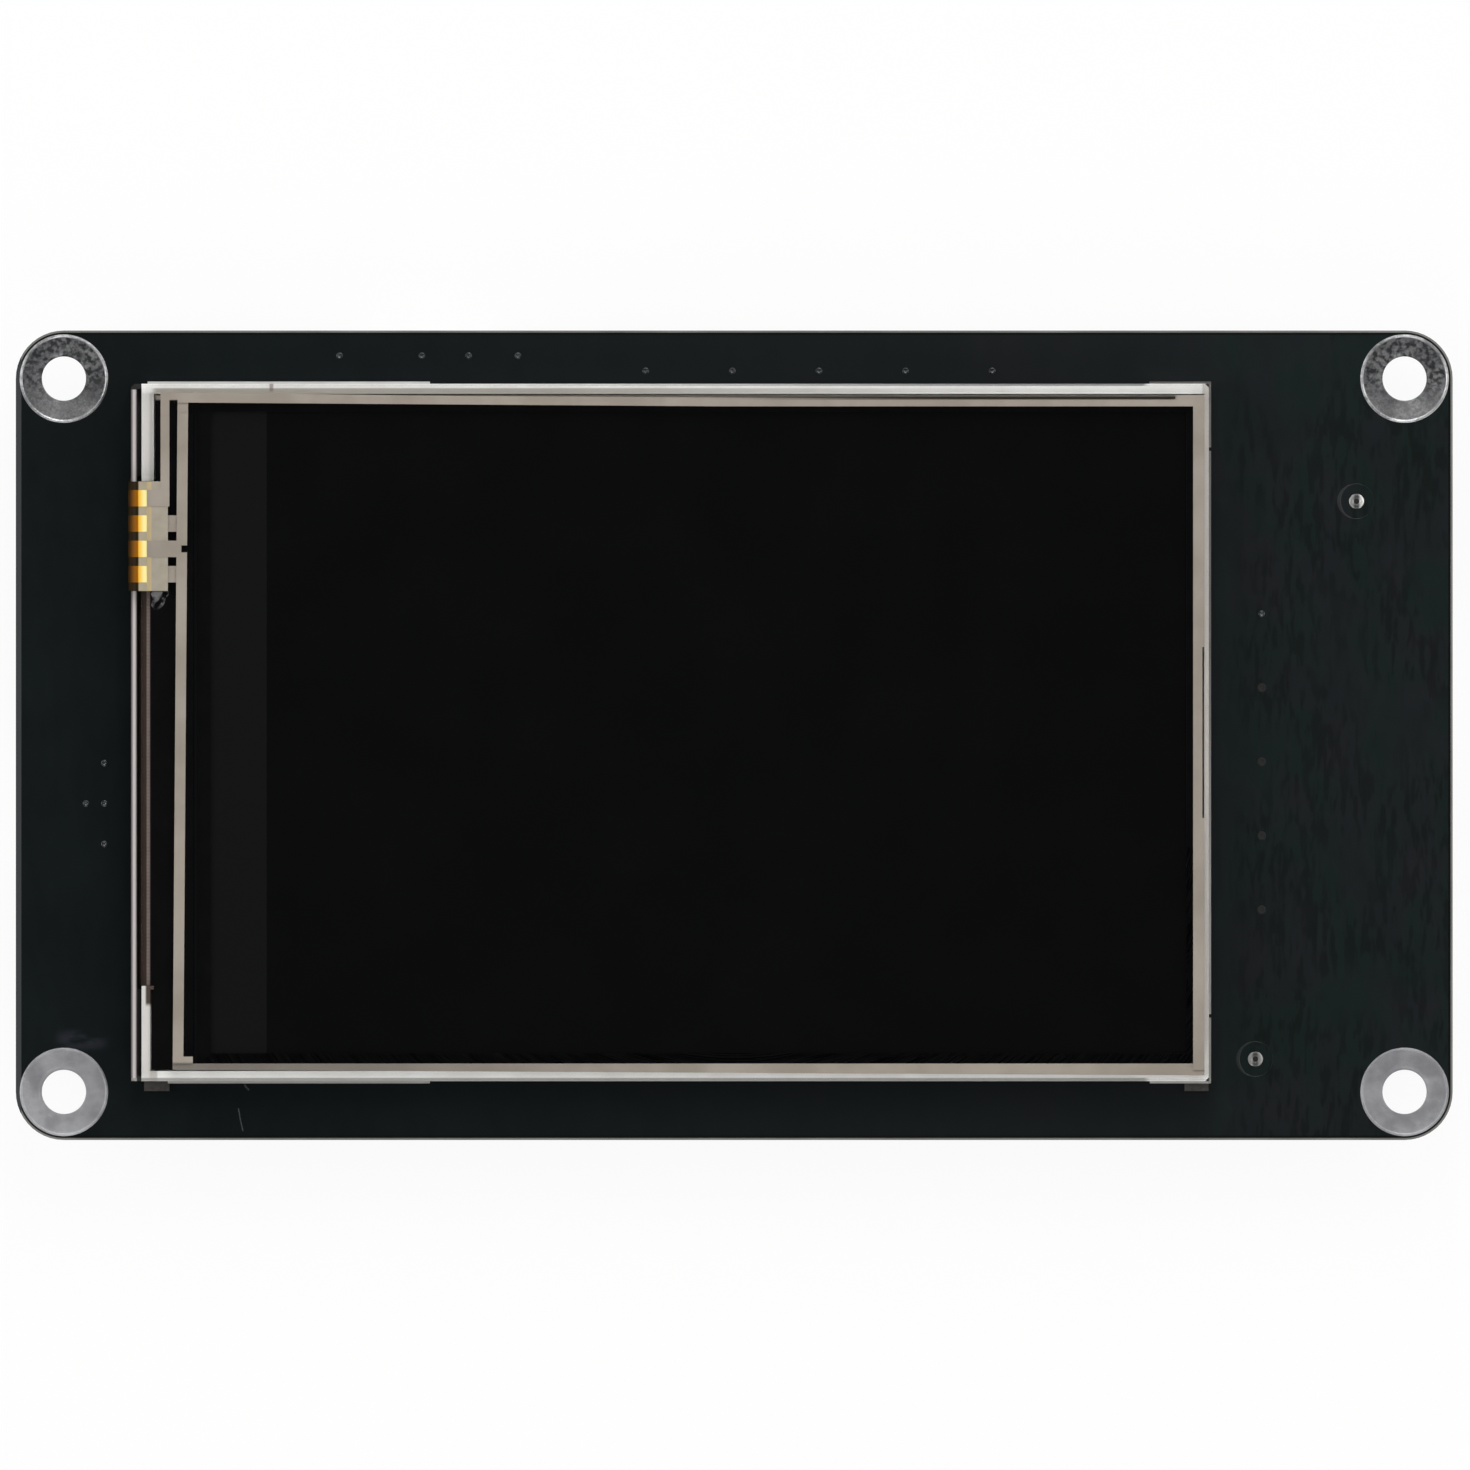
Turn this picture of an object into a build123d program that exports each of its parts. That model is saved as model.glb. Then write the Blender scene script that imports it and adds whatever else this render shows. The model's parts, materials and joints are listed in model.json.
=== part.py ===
from build123d import *
import os
from dataclasses import dataclass

# A 3.5 inch resistive-touch display panel on its carrier board. Lengths in mm, angles in degrees.
# The display faces +Z. Seen from the front, X runs to the right and Y runs up.
# Z = 0 is the rear face of the carrier board, and the four corner holes are centred on the Z axis.

# Carrier board
board_length = 113.6
board_width = 64.0
board_thickness = 1.6
corner_radius = 3.8
hole_inset = 3.8

# Plated corner holes, with tinned pads that thin towards their rims
hole_diameter = 3.5
pad_diameter = 7.0
barrel_wall = 0.05
pad_height = 0.1

# Foam tape between board and panel
tape_thickness = 0.5
tape_length = 74.0
tape_width = 6.0
tape_end_length = 1.9
tape_end_reach = 0.8
tape_clearance = 0.3

# White moulded frame of the panel
display_shift_x = -5.08
display_shift_y = 0.22
mold_length = 85.15
mold_width = 55.1
mold_corner_cut = 0.3
left_wall = 0.45
flex_slot = 0.38
inner_wall = 0.98
frame_wall = 0.8
right_wall = 0.365
ledge_width = 0.9
groove_depth = 1.0
groove_end = 0.4

# Folded steel tray behind the frame
pan_sheet = 0.18
pan_wall_height = 1.9
pan_bend_radius = 0.22
long_tab = 23.6
short_tab = 4.65
upper_tab_start = 1.3
lower_tab_start = 2.9
tab_slit = 0.3
tab_slit_height = 22.4

# Backlight sheets, from the back to the front
reflector_thickness = 0.08
guide_thickness = 0.6
sheet_thickness = 0.08
sheet_gap = 0.1
led_zone = 2.4
led_count = 6
led_end_margin = 1.35
led_length = 3.8
led_depth = 0.9
led_height = 0.55
led_strip_end_gap = 2.85
led_strip_width = 2.1
led_strip_thickness = 0.1

# Display cell
rim_tape_thickness = 0.06
polariser_thickness = 0.12
cell_glass_thickness = 0.4
cell_gap = 0.1
driver_ledge = 3.1
polariser_margin = 0.3
chip_length = 17.0
chip_width = 1.1
chip_thickness = 0.28
chip_setback = 0.75
cover_thickness = 0.1
cover_overhang = 0.3

# Brown flex of the display
flex_width = 40.0
flex_thickness = 0.1
flex_bond = 0.9
flex_side_gap = 0.14
flex_clearance = 0.3
flex_upper_radius = 0.6
flex_lower_radius = 0.25
flex_run = 16.0
flex_height = 0.2
solder_count = 20
solder_pitch = 1.6
solder_width = 0.8
solder_length = 2.0

# Touch panel layers
touch_tape_thickness = 0.25
touch_tape_width = 1.0
touch_glass_thickness = 0.7
track_thickness = 0.05
spacer_thickness = 0.1
touch_film_thickness = 0.19
touch_left_inset = 0.84
touch_right_inset = 0.0
touch_edge_inset = 0.1

# Overlap of flat shapes that join into one piece
join_overlap = 0.1

# Printed silver tracks, as insets from the edges of the touch panel
bar_width = 0.84
left_bar_inset = 2.85
left_bar_lean = 0.4
outer_lead_inset = 1.5
outer_lead_width = 0.7
top_bar_inset = 1.12
top_bar_width = 0.57
top_bar_lift = 0.3
top_bar_lift_length = 43.0
wide_lead_rise = 0.55
wide_lead_length = 23.3
wide_lead_knee = 0.25
wide_lead_taper = 42.0
lead_neck = 0.05
under_bar_inset = 1.17
under_bar_width = 0.17
bottom_bar_inset = 0.8
bottom_bar_width = 0.5
bottom_bar_spread = 0.43
right_bar_inset = 0.365
right_bar_width = 0.885
right_bar_top = 0.8
right_corner_length = 1.4
right_slit_width = 0.15
right_slit_length = 13.5
bar_foot_length = 0.75
bar_foot_height = 0.55
bar_notch_width = 0.45
bar_notch_height = 0.55
window_margin = 1.75
window_left = 3.75

# Amber tail of the touch panel
tail_width = 8.65
tail_height = 15.5
tail_thickness = 0.1
tail_bond = 2.08
tail_side_gap = 0.1
tail_upper_radius = 0.75
tail_lower_radius = 0.25
tail_run = 4.6
tail_notch = 0.42
finger_count = 4
finger_pitch = 2.0
finger_width = 1.3
finger_thickness = 0.03

# Rear of the board: processor
processor_size = 10.0
processor_height = 1.4
processor_leads_per_side = 11
processor_pitch = 0.8
processor_place = (-4.0, -3.0)

# Rear: flash memory
flash_length = 5.2
flash_width = 5.3
flash_height = 1.8
flash_leads_per_side = 4
flash_pitch = 1.27
flash_place = (15.0, 4.0)

# Rear: touch controller
controller_length = 5.0
controller_width = 4.4
controller_height = 1.0
controller_leads_per_side = 8
controller_pitch = 0.65
controller_place = (-28.0, 11.0)

# Rear: voltage regulator with its wide cooling tab
regulator_length = 6.5
regulator_width = 3.5
regulator_height = 1.6
regulator_pitch = 2.3
regulator_tab_width = 3.0
regulator_lead_width = 0.75
regulator_place = (-36.0, -10.0)

# Lead sections of the small packages
lead_thickness = 0.15
lead_reach = 1.0
lead_foot = 0.4
package_standoff = 0.1
package_draft = 7.0
index_diameter = 0.9
index_depth = 0.08
index_inset = 1.25

# Rear: crystal in a metal can
crystal_length = 5.0
crystal_width = 3.2
crystal_height = 1.1
crystal_lid_inset = 0.25
crystal_flange = 0.45
crystal_corner = 0.4
crystal_place = (-4.0, 8.5)

# Rear: power inductor
inductor_size = 6.0
inductor_height = 2.8
inductor_corner = 1.2
inductor_cap_diameter = 4.6
inductor_cap_height = 0.25
inductor_terminal_width = 2.2
inductor_terminal_length = 1.2
inductor_terminal_thickness = 0.15
inductor_place = (-36.0, 1.5)

# Rear: rectifier
rectifier_length = 4.3
rectifier_width = 2.6
rectifier_height = 2.1
rectifier_lead_width = 1.45
rectifier_lead_foot = 0.9
rectifier_place = (-27.5, 1.5)

# Rear: two electrolytic cans on moulded bases
can_diameter = 5.0
can_height = 4.4
can_base_size = 5.3
can_base_height = 0.9
can_base_chamfer = 1.2
can_groove_height = 0.9
can_groove_depth = 0.25
can_spacing = 7.5
can_place = (-38.5, -18.5)

# Rear: rows of chip capacitors and chip resistors
chip_part_length = 2.0
chip_part_width = 1.25
chip_end_length = 0.4
chip_end_wall = 0.04
capacitor_height = 0.9
resistor_height = 0.5
capacitor_pitch = 2.6
capacitor_count = 7
capacitor_row_place = (-13.1, -15.0)
resistor_pitch = 2.6
resistor_count = 6
resistor_row_place = (10.0, -6.0)

# Rear: friction-fit memory card socket at the right-hand edge
socket_depth = 14.6
socket_width = 14.0
socket_height = 1.85
socket_sheet = 0.15
socket_base_height = 0.5
socket_rail_width = 0.9
socket_stop = 1.2
socket_window_length = 3.2
socket_window_width = 2.4
socket_edge_gap = 0.3
socket_place_y = 3.0
contact_count = 8
contact_pitch = 1.1
contact_width = 0.5
contact_thickness = 0.12
contact_length = 6.5
contact_tail = 0.9

# Rear: side-entry wire headers at the left, right and upper edges
header_depth = 7.6
header_height = 5.5
header_pins_each = 4
header_pitch = 2.0
header_end_margin = 1.95
header_wall = 0.8
header_floor = 0.7
header_back = 1.6
header_key_width = 1.0
header_edge_gap = 0.3
pin_size = 0.5
pin_height = 2.9
pin_recess = 1.4
pin_foot = 1.5
tab_thickness = 0.3
tab_height = 2.4
tab_length = 3.0
tab_foot = 1.1
tab_setback = 1.0
left_header_y = -5.4
right_header_y = -15.0
upper_header_x = -24.0


@dataclass(frozen=True)
class Plan:
    """A rectangle seen from the front, given by its four edges."""

    left: float
    right: float
    bottom: float
    top: float

    def inset(self, left, right, bottom, top):
        return Plan(self.left + left, self.right - right, self.bottom + bottom, self.top - top)

    def shrink(self, margin):
        return self.inset(margin, margin, margin, margin)

    def face(self):
        centre = Pos((self.left + self.right) / 2, (self.bottom + self.top) / 2, 0)
        return centre * Rectangle(self.right - self.left, self.top - self.bottom)


@dataclass(frozen=True)
class Outline:
    """A flat polygon seen from the front, given by its corners."""

    corners: tuple

    def face(self):
        return make_face(Polyline(*self.corners, close=True))


def plate(plan, z, thickness):
    """A flat sheet on the level z."""
    return extrude(Pos(0, 0, z) * plan.face(), amount=thickness)


def ring(plan, hole, z, thickness):
    """A flat frame on the level z with a rectangular window."""
    return extrude(Pos(0, 0, z) * (plan.face() - hole.face()), amount=thickness)


def printed(faces, z, thickness):
    """Joined flat shapes of one printed track."""
    outline = faces[0].face()
    for shape in faces[1:]:
        outline = outline + shape.face()
    return extrude(Pos(0, 0, z) * outline, amount=thickness)


def bent_strip(points, radii, thickness, width, centre_y):
    """A strip of even thickness folded along points in the XZ plane."""
    section = trace(FilletPolyline(*points, radius=radii), thickness)
    strip = extrude(Plane.XZ * section, amount=width / 2, both=True)
    return Pos(0, centre_y, 0) * strip


def group(pieces):
    """Separate like pieces that share one node."""
    return Compound(children=[Part() + piece for piece in pieces])


def on_rear(piece, x, y, turn=0.0):
    """A component drawn upright on Z = 0, turned and set on the rear face of the board."""
    return Pos(x, y, 0) * Rot(180, 0, 0) * Rot(0, 0, turn) * piece


def package(length, width, height):
    """A moulded chip body, drafted both ways from its parting line."""
    middle = package_standoff + height / 2
    upper = extrude(Pos(0, 0, middle) * Rectangle(length, width), amount=height / 2, taper=package_draft)
    return upper + mirror(upper, about=Plane.XY.offset(middle))


def index_dimple(length, width, height):
    """A shallow round mark by the first lead."""
    x = index_inset - length / 2
    y = index_inset - width / 2
    z = package_standoff + height - index_depth
    return extrude(Pos(x, y, z) * Circle(index_diameter / 2), amount=index_depth)


def gull_lead(height, width):
    """One gull-wing lead that leaves the body at x = 0 on the parting line."""
    level = package_standoff + height / 2
    half = lead_thickness / 2
    knee = (lead_reach - lead_foot) / 2
    ankle = lead_reach - lead_foot
    outline = Polyline(
        (0, level + half),
        (knee + half, level + half),
        (ankle + half, lead_thickness),
        (lead_reach, lead_thickness),
        (lead_reach, 0),
        (ankle - half, 0),
        (knee - half, level - half),
        (0, level - half),
        close=True,
    )
    return extrude(Plane.XZ * make_face(outline), amount=width / 2, both=True)


def lead_row(count, pitch, offset, lead, turn):
    """A row of leads along one side of a body, at the given distance from its middle."""
    row = []
    for i in range(count):
        along = (i - (count - 1) / 2) * pitch
        row.append(Rot(0, 0, turn) * Pos(offset, along, 0) * lead)
    return row


def dual_leads(count, pitch, width, height, share):
    """Leads on the two long sides of a body."""
    lead = gull_lead(height, pitch * share)
    return lead_row(count, pitch, width / 2, lead, 90) + lead_row(count, pitch, width / 2, lead, 270)


# Levels of the stack above the front face of the board
board_top = board_thickness
pan_level = board_top + tape_thickness
floor_level = pan_level + pan_sheet
guide_level = floor_level + reflector_thickness
diffuser_level = guide_level + guide_thickness
lower_prism_level = diffuser_level + sheet_thickness
upper_prism_level = lower_prism_level + sheet_thickness
ledge_level = upper_prism_level + sheet_thickness
lower_polariser_level = ledge_level + rim_tape_thickness
array_level = lower_polariser_level + polariser_thickness
filter_level = array_level + cell_glass_thickness
upper_polariser_level = filter_level + cell_glass_thickness
mold_top = upper_polariser_level + polariser_thickness
touch_level = mold_top + touch_tape_thickness
glass_track_level = touch_level + touch_glass_thickness
spacer_level = glass_track_level + track_thickness
film_track_level = spacer_level + spacer_thickness
film_level = film_track_level + track_thickness

# Plans of the parts of the panel
mold = Plan(
    display_shift_x - mold_length / 2,
    display_shift_x + mold_length / 2,
    display_shift_y - mold_width / 2,
    display_shift_y + mold_width / 2,
)
pocket = mold.inset(left_wall + flex_slot + inner_wall, right_wall, frame_wall, frame_wall)
chamber = pocket.inset(0, ledge_width, ledge_width, ledge_width)
opening = Plan(
    mold.left + left_wall,
    chamber.left + flex_clearance,
    display_shift_y - flex_width / 2 - flex_clearance,
    display_shift_y + flex_width / 2 + flex_clearance,
)
flex_end = opening.left + flex_side_gap + flex_run
flex_room = opening.inset(0, opening.right - flex_end - tape_clearance, 0, 0)
guide = chamber.inset(led_zone, sheet_gap, sheet_gap, sheet_gap)
led_strip_length = chamber.top - chamber.bottom - 2 * led_strip_end_gap
led_pitch = (led_strip_length - 2 * led_end_margin - led_length) / (led_count - 1)
array = pocket.shrink(cell_gap)
colour = array.inset(driver_ledge, 0, 0, 0)
front_polariser = colour.shrink(polariser_margin)
back_polariser = array.inset(driver_ledge, polariser_margin, polariser_margin, polariser_margin)
touch = mold.inset(touch_left_inset, touch_right_inset, touch_edge_inset, touch_edge_inset)
window = touch.inset(window_left, window_margin, window_margin, window_margin)


def circuit_board():
    """The board with rounded corners, cut for the plated barrels."""
    outline = RectangleRounded(board_length, board_width, corner_radius)
    cuts = [place * Circle(hole_diameter / 2 + barrel_wall) for place in corner_places()]
    return extrude(outline - cuts, amount=board_thickness)


def corner_places():
    x = board_length / 2 - hole_inset
    y = board_width / 2 - hole_inset
    return [Pos(i * x, j * y, 0) for i in (-1, 1) for j in (-1, 1)]


def mounting_eyelets():
    """Four plated barrels through the board, each with a solder ring on both faces."""
    bore = hole_diameter / 2
    barrel = bore + barrel_wall
    rim = pad_diameter / 2
    top = board_thickness
    section = Polyline(
        (bore, -pad_height),
        (bore, top + pad_height),
        (rim, top),
        (barrel, top),
        (barrel, 0),
        (rim, 0),
        close=True,
    )
    eyelet = revolve(Plane.XZ * make_face(section), axis=Axis.Z)
    return group([place * eyelet for place in corner_places()])


def mount_tape():
    """Two foam strips behind the panel, clear of the flex and of the corner pads.

    The lower one has ends that show below the frame.
    """
    middle = (mold.left + mold.right) / 2
    bottom = mold.bottom
    top = mold.top
    upper = Plan(middle - tape_length / 2, middle + tape_length / 2, top - tape_width, top - tape_end_reach)
    lower = Plan(mold.left + lower_tab_start, mold.right, bottom + tape_end_reach, bottom + tape_width)
    end = bottom - tape_end_reach
    left_end = Plan(lower.left - tape_end_length, lower.left + join_overlap, end, lower.top)
    right_end = Plan(mold.right - tape_end_length, mold.right, end, lower.top)
    strips = [
        plate(upper, board_top, tape_thickness),
        printed([lower, left_end, right_end], board_top, tape_thickness),
    ]
    pad_room = Cylinder(pad_diameter / 2 + tape_clearance, 4 * tape_thickness)
    rooms = [place * Pos(0, 0, board_top) * pad_room for place in corner_places()]
    rooms.append(plate(flex_room, board_top - tape_thickness, 3 * tape_thickness))
    return group([strip - rooms for strip in strips])


def backlight_pan():
    """Thin tray folded up round the frame, cut into tabs, and open at the flex side."""
    outer = mold.shrink(-pan_sheet)
    tray = plate(outer, pan_level, pan_wall_height)
    tray = fillet(tray.faces().sort_by(Axis.Z)[0].edges(), pan_bend_radius)
    tray -= plate(mold, floor_level, pan_wall_height)
    far = pan_sheet * 2
    cuts = [
        Plan(outer.left - far, mold.left, outer.bottom - far, outer.top + far),
        Plan(mold.left - far, opening.right - flex_clearance, opening.bottom, opening.top),
        Plan(mold.left - far, mold.left + upper_tab_start, mold.top, outer.top + far),
        Plan(mold.left + long_tab, mold.right - short_tab, mold.top, outer.top + far),
        Plan(mold.left - far, mold.left + lower_tab_start, outer.bottom - far, mold.bottom),
        Plan(mold.left + long_tab, mold.right - short_tab, outer.bottom - far, mold.bottom),
    ]
    for side in (-1, 1):
        slit = display_shift_y + side * tab_slit_height
        cuts.append(Plan(mold.right, outer.right + far, slit - tab_slit / 2, slit + tab_slit / 2))
    for cut in cuts:
        tray -= plate(cut, pan_level - far, pan_wall_height + 2 * far)
    return tray


def mold_frame():
    """White frame: cell pocket, backlight chamber, flex opening, tape recess and two blind grooves."""
    height = mold_top - floor_level
    frame = plate(mold, floor_level, height)
    frame = chamfer(frame.edges().filter_by(Axis.Z), mold_corner_cut)
    frame -= plate(pocket, ledge_level, height)
    frame -= plate(chamber, floor_level, height)
    frame -= plate(opening, floor_level, height)
    recess_left = pocket.left - cover_overhang
    recess = Plan(recess_left, pocket.left + join_overlap, pocket.bottom, opening.bottom + join_overlap)
    frame -= plate(recess, filter_level, height)
    slot_right = opening.left + flex_slot
    upper = Plan(opening.left, slot_right, opening.top, mold.top - groove_end)
    lower = Plan(opening.left, slot_right, mold.bottom + groove_end, opening.bottom)
    for groove in (upper, lower):
        frame -= plate(groove, mold_top - groove_depth, height)
    return frame


def led_strip():
    right = guide.left - sheet_gap
    half = led_strip_length / 2
    plan = Plan(right - led_strip_width, right, display_shift_y - half, display_shift_y + half)
    return plate(plan, floor_level, led_strip_thickness)


def backlight_leds():
    """A row of side-shining lamps against the edge of the light guide."""
    right = guide.left - sheet_gap
    lamps = []
    for i in range(led_count):
        y = display_shift_y + (i - (led_count - 1) / 2) * led_pitch
        plan = Plan(right - led_depth, right, y - led_length / 2, y + led_length / 2)
        lamps.append(plate(plan, floor_level + led_strip_thickness, led_height))
    return group(lamps)


def driver_chip():
    right = colour.left - chip_setback
    half = chip_length / 2
    plan = Plan(right - chip_width, right, display_shift_y - half, display_shift_y + half)
    return plate(plan, filter_level, chip_thickness)


def ledge_cover():
    """Black tape over the driver ledge, resting on the chip and reaching out over the flex."""
    main = Plan(array.left, colour.left - cell_gap, array.bottom, array.top)
    lip_top = opening.top - flex_clearance
    lip = Plan(array.left - cover_overhang, array.left + join_overlap, array.bottom, lip_top)
    return printed([main, lip], filter_level + chip_thickness, cover_thickness)


def display_flex():
    """Flex from the ledge of the cell, down through the frame and back under the tray."""
    upper = filter_level + flex_thickness / 2
    lower = board_top + flex_height
    side = opening.left + flex_side_gap + flex_thickness / 2
    points = [(array.left + flex_bond, upper), (side, upper), (side, lower), (flex_end, lower)]
    radii = (flex_upper_radius, flex_lower_radius)
    return bent_strip(points, radii, flex_thickness, flex_width, display_shift_y)


def flex_solder_pads():
    height = flex_height - flex_thickness / 2
    joints = []
    for i in range(solder_count):
        y = display_shift_y + (i - (solder_count - 1) / 2) * solder_pitch
        plan = Plan(flex_end - solder_length, flex_end, y - solder_width / 2, y + solder_width / 2)
        joints.append(plate(plan, board_top, height))
    return group(joints)


def finger_places():
    middle = display_shift_y + tail_height
    return [middle + ((finger_count - 1) / 2 - i) * finger_pitch for i in range(finger_count)]


def left_edge(y):
    """Left edge of the leaning bar at the height y."""
    fall = (touch.top - y) / (touch.top - touch.bottom)
    return touch.left + left_bar_inset - left_bar_lean * fall


def pad_plan(index, right):
    """The pad of one track under or over the tail, reaching right to the track itself."""
    y = finger_places()[index]
    return Plan(touch.left + tail_notch, right, y - finger_width / 2, y + finger_width / 2)


def bar_pad(index):
    """A pad that reaches the leaning bar."""
    return pad_plan(index, left_edge(finger_places()[index]) + join_overlap)


def left_bar(bottom, top):
    low = left_edge(bottom)
    high = left_edge(top)
    corners = ((low, bottom), (low + bar_width, bottom), (high + bar_width, top), (high, top))
    return Outline(corners)


def right_bar():
    edge = touch.right - right_bar_inset
    return Plan(edge - right_bar_width, edge, touch.bottom + bottom_bar_inset, touch.top - right_bar_top)


def glass_top_electrode():
    """Bar under the upper edge, with a lead down the left side to the second pad."""
    top = touch.top - under_bar_inset
    left = left_edge(top)
    across = Plan(left, right_bar().left, top - under_bar_width, top)
    pad = bar_pad(1)
    return printed([across, left_bar(pad.bottom, top), pad], glass_track_level, track_thickness)


def glass_bottom_electrode():
    """Bar along the lower edge that spreads to the right, with a lead up the left side to the fourth pad."""
    low = touch.bottom + bottom_bar_inset
    high = low + bottom_bar_width
    left = left_edge(low)
    right = right_bar().right
    across = Outline(((left, low), (right, low - bottom_bar_spread), (right, high), (left, high)))
    pad = bar_pad(3)
    return printed([across, left_bar(low, pad.top), pad], glass_track_level, track_thickness)


def film_left_electrode():
    """Leaning bar down the left side with a foot, an index notch and a bridge to the third pad."""
    floor = touch.bottom + bottom_bar_inset + bottom_bar_width
    top = touch.top - top_bar_inset - top_bar_width - bar_foot_height
    foot_left = left_edge(floor)
    foot = Plan(foot_left, foot_left + bar_width + bar_foot_length, floor, floor + bar_foot_height)
    track = printed([left_bar(floor, top), foot, bar_pad(2)], film_track_level, track_thickness)
    y = finger_places()[2]
    half = bar_notch_height / 2
    edge = left_edge(y) + bar_width
    notch = Plan(edge - bar_notch_width, edge + join_overlap, y - half, y + half)
    return track - plate(notch, film_track_level, track_thickness)


def top_lead(left, right):
    """Lead along the upper edge, thick at its left end and tapering to the right."""
    high = touch.top - top_bar_inset
    low = high - top_bar_width
    bar = left_edge(high)
    knee = left + wide_lead_length
    corners = (
        (left, high + wide_lead_rise),
        (knee, high + wide_lead_knee),
        (knee + wide_lead_taper, high),
        (right, high),
        (right, low),
        (bar + top_bar_lift_length, low),
        (bar, low + top_bar_lift),
        (bar, high - lead_neck),
        (left, high - lead_neck),
    )
    return Outline(corners)


def film_right_electrode():
    """Bar down the right side with a slit at its edge, and a lead over the top to the first pad."""
    bar = right_bar()
    lead_left = touch.left + outer_lead_inset
    across = top_lead(lead_left, bar.left + join_overlap)
    upper = touch.top - top_bar_inset
    corner = Plan(bar.left - right_corner_length, bar.left + join_overlap, upper - lead_neck, bar.top)
    pad = pad_plan(0, lead_left + join_overlap)
    down = Plan(lead_left, lead_left + outer_lead_width, pad.bottom, upper)
    shapes = [bar, across, corner, down, pad]
    track = printed(shapes, film_track_level, track_thickness)
    half = right_slit_length / 2
    slit = Plan(bar.right - right_slit_width, bar.right, display_shift_y - half, display_shift_y + half)
    return track - plate(slit, film_track_level, track_thickness)


def tail_plan(depth):
    middle = display_shift_y + tail_height
    half = tail_width / 2
    return Plan(touch.left - tail_notch, touch.left + depth, middle - half, middle + half)


def touch_spacer():
    """Adhesive ring between the two track layers, cut out for the tail."""
    tall = plate(tail_plan(tail_bond).shrink(-sheet_gap), spacer_level, spacer_thickness)
    return ring(touch, window, spacer_level, spacer_thickness) - tall


def touch_film():
    """Clear film with a shallow notch where the tail comes out."""
    film = plate(touch, film_level, touch_film_thickness)
    return film - plate(tail_plan(tail_notch), film_level, touch_film_thickness)


def tail_path(start, offset):
    """Fold line of the tail, moved outwards by the offset."""
    upper = spacer_level + tail_thickness / 2 + offset
    side = mold.left - tail_side_gap - tail_thickness / 2 - offset
    lower = board_top + finger_thickness + tail_thickness / 2 - offset
    end = mold.left + tail_run
    return [(start, upper), (side, upper), (side, lower), (end, lower)]


def touch_tail():
    points = tail_path(touch.left + tail_bond, 0)
    radii = (tail_upper_radius, tail_lower_radius)
    return bent_strip(points, radii, tail_thickness, tail_width, display_shift_y + tail_height)


def tail_tracks():
    """Four tracks on the outside of the fold, ending face down on the board."""
    offset = (tail_thickness + finger_thickness) / 2
    points = tail_path(touch.left + tail_notch, offset)
    radii = (tail_upper_radius + offset, tail_lower_radius + offset)
    return group([bent_strip(points, radii, finger_thickness, finger_width, y) for y in finger_places()])


def processor():
    sizes = (processor_size, processor_size, processor_height)
    return on_rear(package(*sizes) - index_dimple(*sizes), *processor_place)


def processor_leads():
    lead = gull_lead(processor_height, processor_pitch * 0.45)
    leads = []
    for turn in (0, 90, 180, 270):
        leads += lead_row(processor_leads_per_side, processor_pitch, processor_size / 2, lead, turn)
    return group([on_rear(one, *processor_place) for one in leads])


def flash_memory():
    return on_rear(package(flash_length, flash_width, flash_height), *flash_place)


def flash_leads():
    leads = dual_leads(flash_leads_per_side, flash_pitch, flash_width, flash_height, 0.33)
    return group([on_rear(one, *flash_place) for one in leads])


def touch_controller():
    return on_rear(package(controller_length, controller_width, controller_height), *controller_place)


def touch_controller_leads():
    leads = dual_leads(controller_leads_per_side, controller_pitch, controller_width, controller_height, 0.4)
    return group([on_rear(one, *controller_place) for one in leads])


def regulator():
    return on_rear(package(regulator_length, regulator_width, regulator_height), *regulator_place)


def regulator_leads():
    """Three narrow leads and the wide tab opposite them."""
    narrow = gull_lead(regulator_height, regulator_lead_width)
    wide = gull_lead(regulator_height, regulator_tab_width)
    leads = lead_row(3, regulator_pitch, regulator_width / 2, narrow, 90)
    leads += lead_row(1, regulator_pitch, regulator_width / 2, wide, 270)
    return group([on_rear(one, *regulator_place) for one in leads])


def crystal():
    """Low metal can with cut corners on a flange."""
    flange = extrude(Rectangle(crystal_length, crystal_width), amount=crystal_flange)
    length = crystal_length - 2 * crystal_lid_inset
    width = crystal_width - 2 * crystal_lid_inset
    lid = extrude(Rectangle(length, width), amount=crystal_height)
    lid = chamfer(lid.edges().filter_by(Axis.Z), crystal_corner)
    return on_rear(flange + lid, *crystal_place)


def power_inductor():
    """Ferrite block with cut corners and a round winding cap."""
    block = extrude(Rectangle(inductor_size, inductor_size), amount=inductor_height - inductor_cap_height)
    block = chamfer(block.edges().filter_by(Axis.Z), inductor_corner)
    cap = extrude(Circle(inductor_cap_diameter / 2), amount=inductor_height)
    body = Pos(0, 0, inductor_terminal_thickness) * (block + cap)
    return on_rear(body, *inductor_place)


def inductor_terminals():
    half = inductor_size / 2
    terminal = Box(inductor_terminal_length, inductor_terminal_width, inductor_terminal_thickness)
    plates = []
    for side in (-1, 1):
        place = Pos(side * (half - inductor_terminal_length / 2), 0, inductor_terminal_thickness / 2)
        plates.append(place * terminal)
    return group([on_rear(one, *inductor_place) for one in plates])


def rectifier():
    return on_rear(package(rectifier_length, rectifier_width, rectifier_height), *rectifier_place)


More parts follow.
